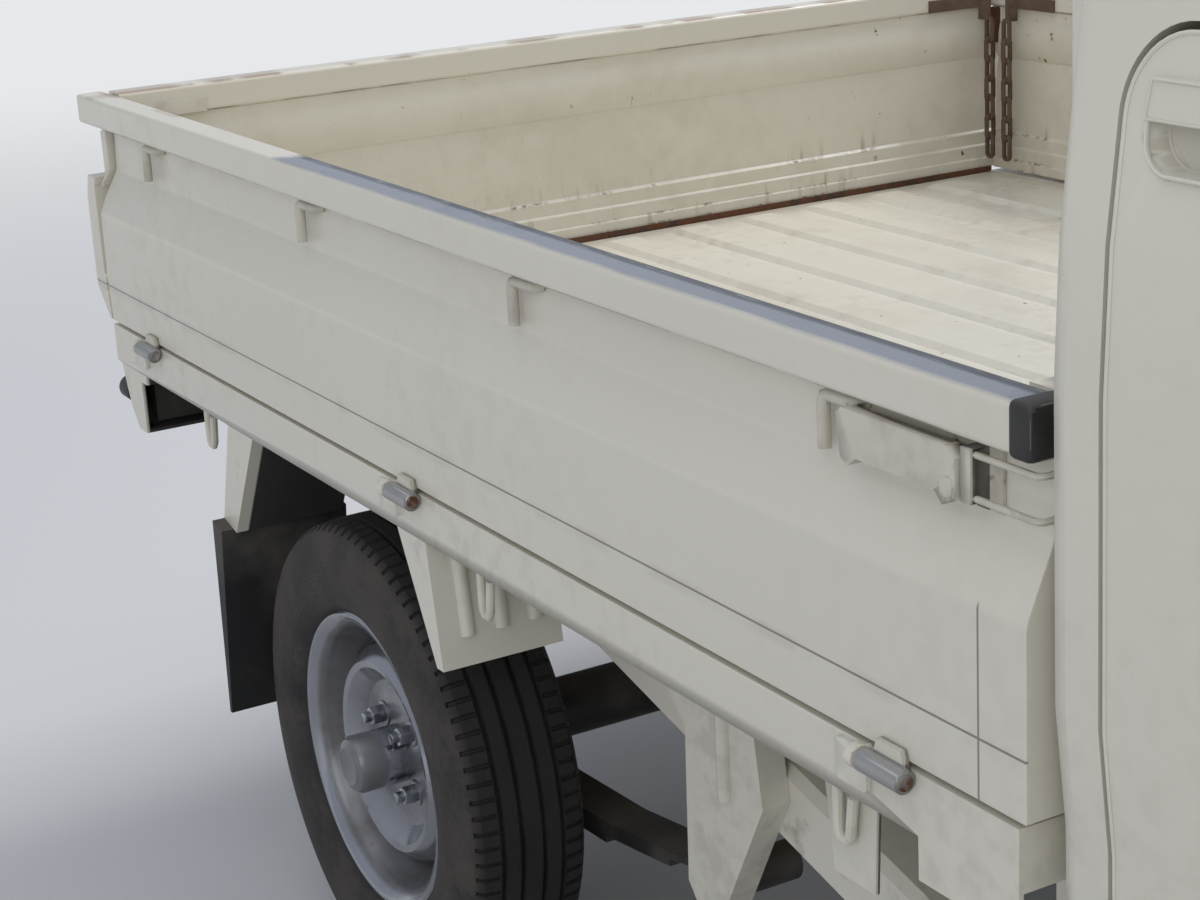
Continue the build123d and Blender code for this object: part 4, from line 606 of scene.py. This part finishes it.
def keep(name, skin, body, slot, *replaced):
    """Settle the active piece at the origin, and give it its finish and body. The slot is not used."""
    piece = bpy.context.object
    activate(piece)
    bpy.ops.object.transform_apply(location=True, rotation=True, scale=True)
    piece.name = name
    piece.data.name = name
    if not piece.data.materials:
        piece.data.materials.append(SKIN[skin])
    bpy.ops.object.shade_smooth_by_angle(angle=math.radians(32))
    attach(piece, body)
    if replaced:
        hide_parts(*replaced)
    piece.select_set(False)
    return piece


def modifier(kind, **settings):
    """Add a modifier to the active piece and apply it."""
    piece = bpy.context.object
    bpy.ops.object.modifier_add(type=kind)
    added = piece.modifiers[-1]
    for key, value in settings.items():
        setattr(added, key, value)
    bpy.ops.object.modifier_apply(modifier=added.name)


def cube(low, high):
    """A plain block between two corners, left active, with its size and middle."""
    deselect()
    size = [b - a for a, b in zip(low, high)]
    middle = [(a + b) / 2 for a, b in zip(low, high)]
    bpy.ops.mesh.primitive_cube_add(size=1.0, location=middle, scale=size)
    bpy.ops.object.transform_apply(location=True, rotation=True, scale=True)
    return size, middle


def box(side, low, high, bevel, segments=2):
    """A block with rounded edges, given for the left side, or mirrored to the right; left active."""
    low_y, high_y = sorted((side * low[1], side * high[1]))
    cube((low[0], low_y, low[2]), (high[0], high_y, high[2]))
    modifier("BEVEL", width=bevel, segments=segments)
    return bpy.context.object


def drum(start, end, radius, sides, bevel=0.0):
    """A round piece between two points, left active."""
    deselect()
    run = Vector(end) - Vector(start)
    turn = run.to_track_quat("Z", "Y").to_euler()
    middle = (Vector(start) + Vector(end)) / 2
    bpy.ops.mesh.primitive_cylinder_add(
        vertices=sides, radius=radius, depth=run.length, location=middle, rotation=turn
    )
    bpy.ops.object.transform_apply(location=True, rotation=True, scale=True)
    if bevel:
        modifier("BEVEL", width=bevel, segments=2, limit_method="ANGLE")
    return bpy.context.object


def merge(pieces):
    """Join pieces into the first, left active."""
    deselect()
    for piece in pieces:
        piece.select_set(True)
    bpy.context.view_layer.objects.active = pieces[0]
    bpy.ops.object.join()


def duplicate(piece):
    """A copy of a piece with a mesh of its own, left active."""
    activate(piece)
    bpy.ops.object.duplicate(linked=False)
    return bpy.context.object


def free_copy(node):
    """A copy of a node that rides on nothing yet, left active."""
    twin = duplicate(nodes[node])
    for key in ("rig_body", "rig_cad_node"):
        del twin[key]
    bpy.ops.object.parent_clear(type="CLEAR_KEEP_TRANSFORM")
    return twin


def weld(distance):
    """Edit mode by faces, with all selected and points nearer than a distance merged."""
    bpy.ops.object.mode_set(mode="EDIT")
    bpy.ops.mesh.select_mode(type="FACE")
    bpy.ops.mesh.select_all(action="SELECT")
    bpy.ops.mesh.remove_doubles(threshold=distance)


def choose(piece, test):
    """Edit mode, with the faces selected that pass a test of their middle and normal."""
    bpy.ops.object.mode_set(mode="EDIT")
    bpy.ops.mesh.select_mode(type="FACE")
    bpy.ops.mesh.select_all(action="DESELECT")
    bpy.ops.object.mode_set(mode="OBJECT")
    for face in piece.data.polygons:
        face.select = test(face.center, face.normal)
    bpy.ops.object.mode_set(mode="EDIT")
    bpy.ops.mesh.select_mode(type="FACE")


def inset(axis, way, thickness, depth):
    """Inset the active piece's faces that look one way along an axis."""
    piece = bpy.context.object
    choose(piece, lambda middle, normal: normal[axis] * way > 0.95)
    bpy.ops.mesh.inset(thickness=thickness, depth=depth)
    bpy.ops.object.mode_set(mode="OBJECT")
    return piece


def outline_bar(piece, merging, dropped, radius, rings):
    """Delete the faces that pass a test, and lay a round bar along the outline of the rest."""
    piece.data.materials.clear()
    weld(merging)
    choose(piece, dropped)
    bpy.ops.mesh.delete(type="FACE")
    bpy.ops.mesh.select_all(action="SELECT")
    bpy.ops.mesh.region_to_loop()
    bpy.ops.mesh.select_all(action="INVERT")
    bpy.ops.mesh.delete(type="EDGE")
    bpy.ops.mesh.select_all(action="SELECT")
    bpy.ops.mesh.delete(type="ONLY_FACE")
    bpy.ops.object.mode_set(mode="OBJECT")
    bpy.ops.object.convert(target="CURVE")
    curve = bpy.context.object.data
    curve.bevel_depth = radius
    curve.bevel_resolution = rings
    bpy.ops.object.convert(target="MESH")


def step_at(middle, steps):
    """The number of the step about the Y axis that a face's middle lies in."""
    return round(math.degrees(math.atan2(middle.z, middle.x)) / 360 * steps - 0.5)


def turned(profile, steps):
    """Turn a closed profile of (along Y, radius) about the Y axis through the origin, left active."""
    deselect()
    bpy.ops.mesh.primitive_plane_add(size=0.001)
    bpy.ops.object.mode_set(mode="EDIT")
    bpy.ops.mesh.select_mode(type="VERT")
    bpy.ops.mesh.select_all(action="SELECT")
    bpy.ops.mesh.merge(type="CENTER")
    along, radius = profile[0]
    bpy.ops.transform.translate(value=(0.0, along, radius))
    for (a0, r0), (a1, r1) in zip(profile, profile[1:] + profile[:1]):
        bpy.ops.mesh.extrude_region_move(TRANSFORM_OT_translate={"value": (0.0, a1 - a0, r1 - r0)})
    bpy.ops.mesh.select_all(action="SELECT")
    bpy.ops.mesh.remove_doubles(threshold=0.00005)
    bpy.ops.mesh.spin(steps=steps, angle=2 * math.pi, center=(0, 0, 0), axis=(0, 1, 0))
    bpy.ops.mesh.select_all(action="SELECT")
    bpy.ops.mesh.remove_doubles(threshold=0.00005)
    bpy.ops.mesh.normals_make_consistent(inside=False)
    bpy.ops.object.mode_set(mode="OBJECT")


# Wheels: smooth steel rims with vents, nuts and a cap, and tyres with cuts in both shoulders
CORNERS = (("fl", FRONT_AXLE, 1), ("fr", FRONT_AXLE, -1), ("rl", REAR_AXLE, 1), ("rr", REAR_AXLE, -1))
TYRE_HALF = (
    # along, radius: edge of the bore, side wall, shoulder and two grooves; the other half mirrors them
    (0.0505, 0.156), (0.056, 0.168), (0.066, 0.179), (0.0705, 0.196),
    (0.0722, 0.213), (0.0712, 0.225), (0.068, 0.242), (0.0655, 0.2535),
    (0.0635, 0.26), (0.056, 0.2665), (0.038, 0.2692), (0.037, 0.263),
    (0.0325, 0.263), (0.0315, 0.2696), (0.016, 0.2698), (0.015, 0.263),
    (0.0105, 0.263), (0.0095, 0.2699),
)
TYRE_PROFILE = TYRE_HALF + tuple((-along, radius) for along, radius in reversed(TYRE_HALF))
TREAD_STEPS = 288


def make_tyre():
    """One tyre about the origin, its outer side to +Y."""
    turned(TYRE_PROFILE, TREAD_STEPS)
    tyre = bpy.context.object

    def cut(middle, normal):
        radius = math.hypot(middle.x, middle.z)
        outward = normal.x * middle.x + normal.z * middle.z >= 0.1 * radius
        shoulder = 0.038 < abs(middle.y) < 0.0665 and radius > 0.257
        return outward and shoulder and step_at(middle, TREAD_STEPS) % 3 == 0

    choose(tyre, cut)
    bpy.ops.mesh.inset(thickness=0.0014, depth=-0.0035, use_individual=False)
    bpy.ops.object.mode_set(mode="OBJECT")
    return tyre


RIM_PROFILE = (
    # along, radius: flange, well seen from outside, disc with its crest and bowl, hub
    (0.0508, 0.1655), (0.053, 0.169), (0.058, 0.1695), (0.0605, 0.1665),
    (0.059, 0.1605), (0.05, 0.1515), (0.044, 0.1475), (0.033, 0.1455),
    (0.019, 0.1345), (0.01, 0.131), (0.012, 0.1285), (0.025, 0.123),
    (0.037, 0.1155), (0.042, 0.1085), (0.0405, 0.101), (0.032, 0.092),
    (0.0225, 0.083), (0.0205, 0.074), (0.0225, 0.065), (0.0225, 0.0215),
    (0.01, 0.0215), (-0.03, 0.0215),
    # back of the hub and the disc, inner well and flange, and the well's inside
    (-0.04, 0.03), (-0.04, 0.096), (-0.03, 0.1), (0.002, 0.101),
    (0.002, 0.1285), (-0.028, 0.129), (-0.038, 0.1475), (-0.056, 0.1515),
    (-0.06, 0.1605), (-0.0605, 0.1665), (-0.058, 0.1695), (-0.053, 0.169),
    (-0.0508, 0.1655), (-0.048, 0.153), (-0.036, 0.151), (-0.026, 0.137),
    (0.014, 0.137), (0.036, 0.151), (0.048, 0.153),
)
RIM_STEPS = 96
VENT_COUNT = 12
NUT_CIRCLE = 0.05
WHEEL_NUT = (
    # start and end along Y, radius, sides, bevel: nut, stud, washer
    (0.0215, 0.04, 0.0112, 6, 0.0012),
    (0.039, 0.048, 0.0062, 16, 0.001),
    (0.021, 0.0245, 0.015, 20, 0.001),
)


def make_hub_cap():
    """A cap over the hub, stepped twice and hollowed."""
    cap = drum((0.0, 0.021, 0.0), (0.0, 0.076, 0.0), 0.0325, 40)
    choose(cap, lambda middle, normal: normal.y > 0.9)
    for rise, share in ((0.006, 0.9), (0.004, 0.72)):
        bpy.ops.mesh.extrude_region_move(TRANSFORM_OT_translate={"value": (0.0, rise, 0.0)})
        bpy.ops.transform.resize(value=(share, 1.0, share))
    bpy.ops.mesh.inset(thickness=0.005, depth=-0.0015)
    bpy.ops.object.mode_set(mode="OBJECT")
    return cap


def make_rim():
    """One wheel about the origin, its outer side to +Y."""
    turned(RIM_PROFILE, RIM_STEPS)
    rim = bpy.context.object

    def vent(middle, normal):
        radius = math.hypot(middle.x, middle.z)
        outside = 0.1225 < radius < 0.13 and middle.y > 0.009 and normal.y > 0.0
        return outside and step_at(middle, RIM_STEPS) % (RIM_STEPS // VENT_COUNT) in (0, 1, 2)

    choose(rim, vent)
    bpy.ops.mesh.inset(thickness=0.001, depth=0.0)
    bpy.ops.mesh.extrude_region_move(TRANSFORM_OT_translate={"value": (0.0, -0.014, 0.0)})
    bpy.ops.object.mode_set(mode="OBJECT")
    rim.data.materials.append(SKIN["wheel"])
    rim.data.materials.append(SKIN["under"])
    for face in rim.data.polygons:
        if face.select:
            face.material_index = 1
    parts = [rim]
    for count in range(4):
        angle = math.radians(45 + 90 * count)
        across, up = NUT_CIRCLE * math.cos(angle), NUT_CIRCLE * math.sin(angle)
        for start, end, radius, sides, bevel in WHEEL_NUT:
            parts.append(drum((across, start, up), (across, end, up), radius, sides, bevel))
    parts.append(make_hub_cap())
    for piece in parts[1:]:
        piece.data.materials.append(SKIN["wheel"])
    merge(parts)
    return bpy.context.object


def make_wheels():
    """Every wheel as a copy of one tyre and one rim, turned round for the right side."""
    tyre = make_tyre()
    tyre.data.materials.append(SKIN["tyre"])
    rim = make_rim()
    for name, x, side in CORNERS:
        for master, word, slot in ((tyre, "tyre", "tyre_rubber"), (rim, "rim", "wheel_silver")):
            twin = duplicate(master)
            if side < 0:
                twin.rotation_euler = (0.0, 0.0, math.pi)
            twin.location = (x, side * HALF_TRACK, AXLE_HEIGHT)
            keep(f"{word}_look_{name}", "tyre", f"wheel_{name}", slot, f"{word}_{name}")
    for master in (tyre, rim):
        bpy.data.objects.remove(master)


# Smooth copies of the frame's many-sided pieces, with their edges eased


def ease(node, slot, angle, bevel=0.0):
    """A merged copy of a node's mesh in the node's place, its flats smoothed into curves below an angle."""
    body = nodes[node]["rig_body"]
    twin = free_copy(node)
    weld(0.00002)
    bpy.ops.mesh.dissolve_limited(angle_limit=math.radians(0.5))
    bpy.ops.object.mode_set(mode="OBJECT")
    if bevel:
        modifier("BEVEL", width=bevel, segments=2, limit_method="ANGLE", angle_limit=math.radians(angle))
    modifier("TRIANGULATE", min_vertices=5)
    bpy.ops.object.shade_smooth_by_angle(angle=math.radians(angle))
    modifier("WEIGHTED_NORMAL", keep_sharp=True)
    twin.name = f"{node}_look"
    twin.data.name = twin.name
    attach(twin, body)
    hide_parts(node)
    twin.select_set(False)


EASED = (
    # node, slot, angle below which flats are smoothed, rounding of the other edges
    ("cab_shell", "body_paint", 33),
    ("door_right", "body_paint", 33),
    ("door_left", "body_paint", 33),
    ("front_bumper", "bumper_plastic", 33),
    ("gate_right", "gate_paint", 20, 0.0012),
    ("gate_left", "gate_paint", 20, 0.0012),
    ("tailgate", "gate_paint", 20, 0.0012),
    ("gate_fittings_right", "zinc_fittings", 50),
    ("gate_fittings_left", "zinc_fittings", 50),
    ("tailgate_fittings", "zinc_fittings", 50),
    ("headboard", "gate_paint", 40),
    ("door_mirror_right", "black_plastic", 50),
    ("door_mirror_left", "black_plastic", 50),
    ("steering_wheel", "black_plastic", 55),
    ("exhaust", "exhaust_steel", 50),
    ("rear_axle", "black_steel", 40),
    ("bed_sills", "body_paint", 30),
    ("wheel_guards", "body_paint", 30),
)


def make_eased():
    for row in EASED:
        ease(*row)


# Glazing rubbers: a round rubber along the outer edge of every pane
RUBBERS = (
    # name, node, the way its outward skin faces, radius, body
    ("screen_rubber", "cab_glass", (1.0, 0.0, 0.2), 0.0105, "root"),
    ("rear_window_rubber", "cab_glass", (-1.0, 0.0, 0.0), 0.0105, "root"),
    ("window_rubber_right", "door_glass_right", (0.0, -1.0, 0.1), 0.0085, "door_right"),
    ("window_rubber_left", "door_glass_left", (0.0, 1.0, 0.1), 0.0085, "door_left"),
)


def make_rubbers():
    for name, node, outward, radius, body in RUBBERS:
        way = Vector(outward)
        outline_bar(free_copy(node), 0.0002, lambda middle, normal: normal.dot(way) < 0.5, radius, 2)
        keep(name, "cap", body, "black_rubber")


# Gates: rubber caps on the rails' front ends, and the ends of the hinge pins
HINGE_PLACES = (-1.521, -0.8024, -0.024)
HINGE_HEIGHT = 0.643
HINGE_OUT = 0.745
BARREL_LENGTH = 0.048


def make_gate_details(side, word):
    body = f"gate_{word}"
    box(side, (0.1215, 0.6968, 0.8995), (0.1445, 0.7356, 0.9385), 0.005, 3)
    inset(0, 1, 0.0035, -0.0012)
    keep(f"rail_cap_{word}", "cap", body, "black_rubber")
    pins = []
    for place in HINGE_PLACES:
        end = place + BARREL_LENGTH
        start_point = (end - 0.004, side * HINGE_OUT, HINGE_HEIGHT)
        end_point = (end + 0.0022, side * HINGE_OUT, HINGE_HEIGHT)
        drum(start_point, end_point, 0.0064, 20, 0.0014)
        pins.append(inset(0, 1, 0.0018, -0.001))
    merge(pins)
    keep(f"hinge_pins_{word}", "pin", body, "zinc_fittings")


# Lamps: bowls and bulbs behind the front lenses
BOWL_PROFILE = (
    # along, radius
    (0.0, 0.004), (0.001, 0.02), (0.006, 0.037), (0.014, 0.05),
    (0.024, 0.06), (0.0255, 0.0615), (0.024, 0.062), (0.012, 0.052),
    (0.004, 0.039), (-0.002, 0.02), (-0.003, 0.004),
)
BOWL_STEPS = 40
BOWL_PLACE = (1.6, 0.575, 0.735)


def make_bowl(side, word):
    turned(BOWL_PROFILE, BOWL_STEPS)
    parts = [bpy.context.object, drum((0.0, -0.001, 0.0), (0.0, 0.01, 0.0), 0.01, 20, 0.001)]
    place = (0.0, 0.0135, 0.0)
    bpy.ops.mesh.primitive_uv_sphere_add(segments=20, ring_count=12, radius=0.008, location=place)
    modifier("CAST", factor=0.15)
    merge([*parts, bpy.context.object])
    bowl = bpy.context.object
    bowl.rotation_euler = (0.0, 0.0, -math.pi / 2)
    bowl.location = (BOWL_PLACE[0], side * BOWL_PLACE[1], BOWL_PLACE[2])
    keep(f"headlamp_bowl_{word}", "bowl", "root", "lamp_lens")


# Wipers on the windscreen
SCREEN_FOOT = (1.53, 1.049)
SCREEN_HEAD = (1.15, 1.7)
SCREEN_BULGE = 0.018
SCREEN_HALF = 0.7


def on_screen(up, y, out):
    """A point on the windscreen, by its share of the height, its Y and its distance off the glass."""
    run = SCREEN_HEAD[0] - SCREEN_FOOT[0]
    rise = SCREEN_HEAD[1] - SCREEN_FOOT[1]
    length = math.hypot(run, rise)
    x = SCREEN_FOOT[0] + up * run + out * rise / length - SCREEN_BULGE * (1 - abs(y) / SCREEN_HALF)
    return Vector((x, y, SCREEN_FOOT[1] + up * rise - out * run / length))


def make_wiper(word, pivot, tip):
    """An arm from its pivot to the middle of a blade that ends at the tip's Y."""
    arm_start = on_screen(0.03, pivot, 0.012)
    arm_end = on_screen(0.205, (pivot + tip) / 2 + 0.02, 0.02)
    blade_start = on_screen(0.085, pivot + (tip - pivot) * 0.25, 0.01)
    blade_end = on_screen(0.33, tip, 0.01)
    parts = [
        drum(arm_start, arm_end, 0.0045, 12, 0.0015),
        drum(blade_start, blade_end, 0.0055, 6, 0.0015),
        drum(on_screen(0.03, pivot, -0.01), on_screen(0.03, pivot, 0.02), 0.013, 20, 0.003),
    ]
    merge(parts)
    keep(f"wiper_{word}", "mirror", "root", "black_plastic")


# Seats: crowned pads with sewn channels
SEAT_CHANNELS = ((-0.56, 0.01), (0.56, 0.01))
CHANNEL_WIDTH = 0.006


def make_pad(low, high, crown, channels, lean=0.0, along=0):
    """A stuffed pad between two corners; along is the axis it swells on, lean its slope over the height."""
    size, middle = cube(low, high)
    pad = bpy.context.object
    bpy.ops.object.mode_set(mode="EDIT")
    bpy.ops.mesh.select_all(action="SELECT")
    bpy.ops.mesh.subdivide(number_cuts=19)
    bpy.ops.object.mode_set(mode="OBJECT")
    flats = [axis for axis in range(3) if axis != along]
    for vertex in pad.data.vertices:
        share = [2 * (vertex.co[axis] - middle[axis]) / size[axis] for axis in range(3)]
        full = 1.0
        for axis in flats:
            full *= 1.0 - abs(share[axis]) ** 6
        swell = crown * (full - 0.35)
        for place, depth in channels:
            gap = (share[1] - place) * size[1] / 2
            swell -= depth * math.exp(-((gap / CHANNEL_WIDTH) ** 2)) * full
        moved = list(vertex.co)
        moved[along] += swell * share[along]
        for axis in flats:
            pull = 1.0 - 0.035 * abs(share[along]) ** 3 - 0.02 * (1.0 - share[3 - along - axis] ** 2)
            moved[axis] = middle[axis] + (moved[axis] - middle[axis]) * pull
        moved[0] += lean * (vertex.co.z - low[2])
        vertex.co = moved
    modifier("SUBSURF", levels=1, render_levels=1)


def make_seat(side, word):
    inner, outer = sorted((side * 0.1, side * 0.58))
    channels = (*SEAT_CHANNELS, (0.0, 0.004))
    make_pad((0.29, inner, 0.668), (0.735, outer, 0.802), 0.016, channels, along=2)
    keep(f"seat_cushion_{word}", "seat", "root", "seat_vinyl", f"seat_{word}")
    make_pad((0.262, inner + 0.006, 0.775), (0.366, outer - 0.006, 1.3), 0.014, SEAT_CHANNELS, -0.075)
    keep(f"seat_back_{word}", "seat", "root", "seat_vinyl")
    centre = side * 0.34
    make_pad((0.24, centre - 0.12, 1.318), (0.322, centre + 0.12, 1.448), 0.008, ())
    keep(f"headrest_{word}", "seat", "root", "seat_vinyl")
    places = (centre - 0.05, centre + 0.05)
    merge([drum((0.283, y, 1.285), (0.283, y, 1.335), 0.006, 16) for y in places])
    keep(f"headrest_posts_{word}", "bowl", "root", "zinc_fittings")


# Small pieces of the body: hemmed door edges, mirrors, repeaters, buffers and rope hooks


def make_door_hem(side, word):
    """A rolled edge round the door's skin, its window and its pull."""
    outline_bar(
        free_copy(f"door_{word}"),
        0.0001,
        lambda middle, normal: normal.y * side < 0.7 or abs(middle.y) < 0.5,
        0.0016,
        1,
    )
    keep(f"door_hem_{word}", "cab", f"door_{word}", "body_paint")


def make_tailgate_end(side, word):
    """The tailgate's folded end beside the side gate's upper edge, and the web behind it, dark with rust and
    painted shade.
    """
    fold = box(side, (-1.6572, 0.7005, 0.844), (-1.6455, 0.7195, 0.9003), 0.002)
    choose(fold, lambda middle, normal: normal.z < -0.9)
    bpy.ops.mesh.extrude_region_move(TRANSFORM_OT_translate={"value": (0.0, 0.0, -0.019)})
    bpy.ops.transform.resize(value=(0.45, 1.0, 1.0))
    bpy.ops.transform.translate(value=(-0.0033, side * 0.01, 0.0))
    bpy.ops.object.mode_set(mode="OBJECT")
    keep(f"tailgate_fold_{word}", "gate", "tailgate", "gate_paint")
    # Painted shade: the web behind the fold takes the dark rusty seam finish, for rust and its shade
    box(side, (-1.657, 0.7, 0.846), (-1.6402, 0.706, 0.8995), 0.001)
    keep(f"tailgate_web_{word}", "seam", "tailgate", "gate_paint")


def make_mirror_glass(side, word):
    """The mirror's glass in its rim, and the door's lock."""
    box(side, (1.1035, 0.76, 1.212), (1.1065, 0.854, 1.408), 0.0012)
    inset(0, -1, 0.003, -0.0008)
    keep(f"mirror_glass_{word}", "bowl", f"door_{word}", "black_plastic")
    drum((0.335, side * 0.729, 1.078), (0.335, side * 0.7392, 1.078), 0.0095, 24, 0.0012)
    inset(1, side, 0.0025, -0.0008)
    keep(f"door_lock_{word}", "bowl", f"door_{word}", "zinc_fittings")


def make_repeater(side, word):
    """A small amber lamp on the side of the nose."""
    box(side, (1.29, 0.733, 0.798), (1.332, 0.744, 0.818), 0.004, 3)
    inset(1, side, 0.003, 0.001)
    keep(f"side_repeater_{word}", "amber", "root", "lamp_red")


def make_seam(side, word):
    """A rusty flange of the rear sill at the tailgate's foot, and a pad that closes the bed's rear corner."""
    flange = box(side, (-1.6546, 0.0, 0.63), (-1.6514, 0.6965, 0.6545), 0.0008)
    merge([flange, box(side, (-1.6546, 0.0, 0.63), (-1.6332, 0.6965, 0.6352), 0.001)])
    keep(f"seam_flange_{word}", "seam", "root", "body_paint")
    box(side, (-1.69, 0.6928, 0.904), (-1.66, 0.699, 0.933), 0.001)
    keep(f"corner_pad_{word}", "cap", f"gate_{word}", "black_rubber")


BUFFER_HEIGHT = 0.56
BUFFER_OUT = 0.719


def make_buffer(side, word):
    """A rubber buffer for the lowered tailgate, with a six-sided collar at its foot."""
    y = side * BUFFER_OUT
    drum((-1.63, y, BUFFER_HEIGHT), (-1.664, y, BUFFER_HEIGHT), 0.0155, 32, 0.003)
    buffer = inset(0, -1, 0.005, -0.003)
    merge([buffer, drum((-1.632, y, BUFFER_HEIGHT), (-1.639, y, BUFFER_HEIGHT), 0.016, 6, 0.001)])
    keep(f"tailgate_buffer_{word}", "cap", "root", "black_rubber")


ROPE_HOOK_PLACES = (-1.408, -0.688, -0.104)
ROPE_HOOK_OUT = 0.706
ROPE_HOOK_ROUTE = (
    # forward of the hook's place, height
    (-0.008, 0.602), (-0.008, 0.552), (-0.0075, 0.5425), (-0.0035, 0.537),
    (0.0035, 0.537), (0.0075, 0.5425), (0.0085, 0.552), (0.012, 0.576),
)


def make_rope_hooks(side, word):
    """Open loops of bar under the sill, bent once and copied."""
    line = bpy.data.curves.new("rope_hook", "CURVE")
    line.dimensions = "3D"
    line.bevel_depth = 0.0045
    line.bevel_resolution = 3
    line.use_fill_caps = True
    run = line.splines.new("POLY")
    run.points.add(len(ROPE_HOOK_ROUTE) - 1)
    for point, (ahead, height) in zip(run.points, ROPE_HOOK_ROUTE):
        point.co = (ahead, side * ROPE_HOOK_OUT, height, 1.0)
    first = bpy.data.objects.new("rope_hook", line)
    bpy.context.scene.collection.objects.link(first)
    activate(first)
    bpy.ops.object.convert(target="MESH")
    hook = bpy.context.object
    hooks = [hook] + [duplicate(hook) for _ in ROPE_HOOK_PLACES[1:]]
    for hook, place in zip(hooks, ROPE_HOOK_PLACES):
        hook.location.x = place
    merge(hooks)
    keep(f"rope_hooks_{word}", "sill", "root", "body_paint")


def make_small_pieces(side, word):
    make_mirror_glass(side, word)
    make_repeater(side, word)
    make_seam(side, word)
    make_tailgate_end(side, word)
    make_buffer(side, word)
    make_rope_hooks(side, word)


def make_levers():
    """Gear and handbrake levers between the seats, with their grips and the gear lever's boot."""
    parts = [
        drum((0.86, 0.0, 0.44), (0.79, 0.0, 0.86), 0.006, 16),
        drum((0.6, 0.02, 0.668), (0.745, 0.02, 0.79), 0.0075, 16),
        drum((0.793, 0.0, 0.842), (0.783, 0.0, 0.902), 0.021, 24, 0.009),
        drum((0.7, 0.02, 0.752), (0.752, 0.02, 0.796), 0.0145, 20, 0.004),
        drum((0.86, 0.0, 0.438), (0.846, 0.0, 0.52), 0.045, 24, 0.01),
    ]
    boot = parts[-1]
    choose(boot, lambda middle, normal: normal.z > 0.9)
    bpy.ops.transform.resize(value=(0.45, 0.45, 1.0))
    bpy.ops.object.mode_set(mode="OBJECT")
    merge(parts)
    keep("levers", "mirror", "root", "cabin_plastic")


# Floor, world and lamps
LAMPS = (
    # name, place, size, power
    ("key", (-1.5, 4.6, 5.6), 2.6, 265.0),
    ("fill", (2.8, -4.4, 3.2), 4.0, 60.0),
    ("top", (-0.5, -0.6, 6.4), 6.0, 75.0),
)
LAMP_AIM = (-0.4, 0.0, 0.6)
FLOOR_SIZE = 60.0


def blend(tree, share, first, second, output):
    """Feed an output with a mix of two shaders."""
    mixer = tree.nodes.new("ShaderNodeMixShader")
    join(tree, share, mixer.inputs[0])
    tree.links.new(first.outputs[0], mixer.inputs[1])
    tree.links.new(second.outputs[0], mixer.inputs[2])
    tree.links.new(mixer.outputs[0], tree.nodes[output].inputs[0])


def make_floor():
    """A pale floor that fades into the backdrop away from the truck."""
    bpy.ops.mesh.primitive_plane_add(size=FLOOR_SIZE, location=(0.0, 0.0, 0.0))
    floor = bpy.context.object
    floor.name = "floor"
    ground = Finish("pale_floor", (0.66, 0.66, 0.66))
    floor.data.materials.append(ground.done(Roughness=0.9, Specular_IOR_Level=0.1))
    far = (ground.x * ground.x + ground.y * ground.y).sum("SQRT").ramp(2.6, 9.0)
    glow = ground.tree.nodes.new("ShaderNodeEmission")
    glow.inputs["Color"].default_value = HAZE
    blend(ground.tree, far, ground.shader, glow, "Material Output")


def make_world():
    """A bluish sky as light, and a plain backdrop where the camera sees past the floor."""
    world = bpy.data.worlds.new("world")
    bpy.context.scene.world = world
    world.use_nodes = True
    tree = world.node_tree
    sky = tree.nodes["Background"]
    sky.inputs["Color"].default_value = (0.82, 0.88, 1.0, 1.0)
    sky.inputs["Strength"].default_value = 0.5
    backdrop = tree.nodes.new("ShaderNodeBackground")
    backdrop.inputs["Color"].default_value = HAZE
    rays = tree.nodes.new("ShaderNodeLightPath")
    seen = Wire(tree, rays.outputs["Is Camera Ray"]) + Wire(tree, rays.outputs["Is Transmission Ray"])
    blend(tree, seen, sky, backdrop, "World Output")


def make_lamps():
    for name, place, size, power in LAMPS:
        data = bpy.data.lights.new(name, "AREA")
        data.size = size
        data.energy = power
        lamp = bpy.data.objects.new(name, data)
        lamp.location = place
        aim = Vector(LAMP_AIM) - Vector(place)
        lamp.rotation_euler = aim.to_track_quat("-Z", "Y").to_euler()
        bpy.context.scene.collection.objects.link(lamp)


SIDES = ((-1, "right"), (1, "left"))
make_camera()
make_floor()
make_world()
make_lamps()
for side, word in SIDES:
    make_door_hem(side, word)
make_eased()
make_wheels()
make_rubbers()
for side, word in SIDES:
    make_gate_details(side, word)
    make_small_pieces(side, word)
    make_seat(side, word)
make_levers()
for side, word in SIDES:
    make_bowl(side, word)
make_wiper("right", -0.3, -0.52)
make_wiper("left", 0.33, -0.03)

bpy.context.scene.view_settings.view_transform = "Standard"
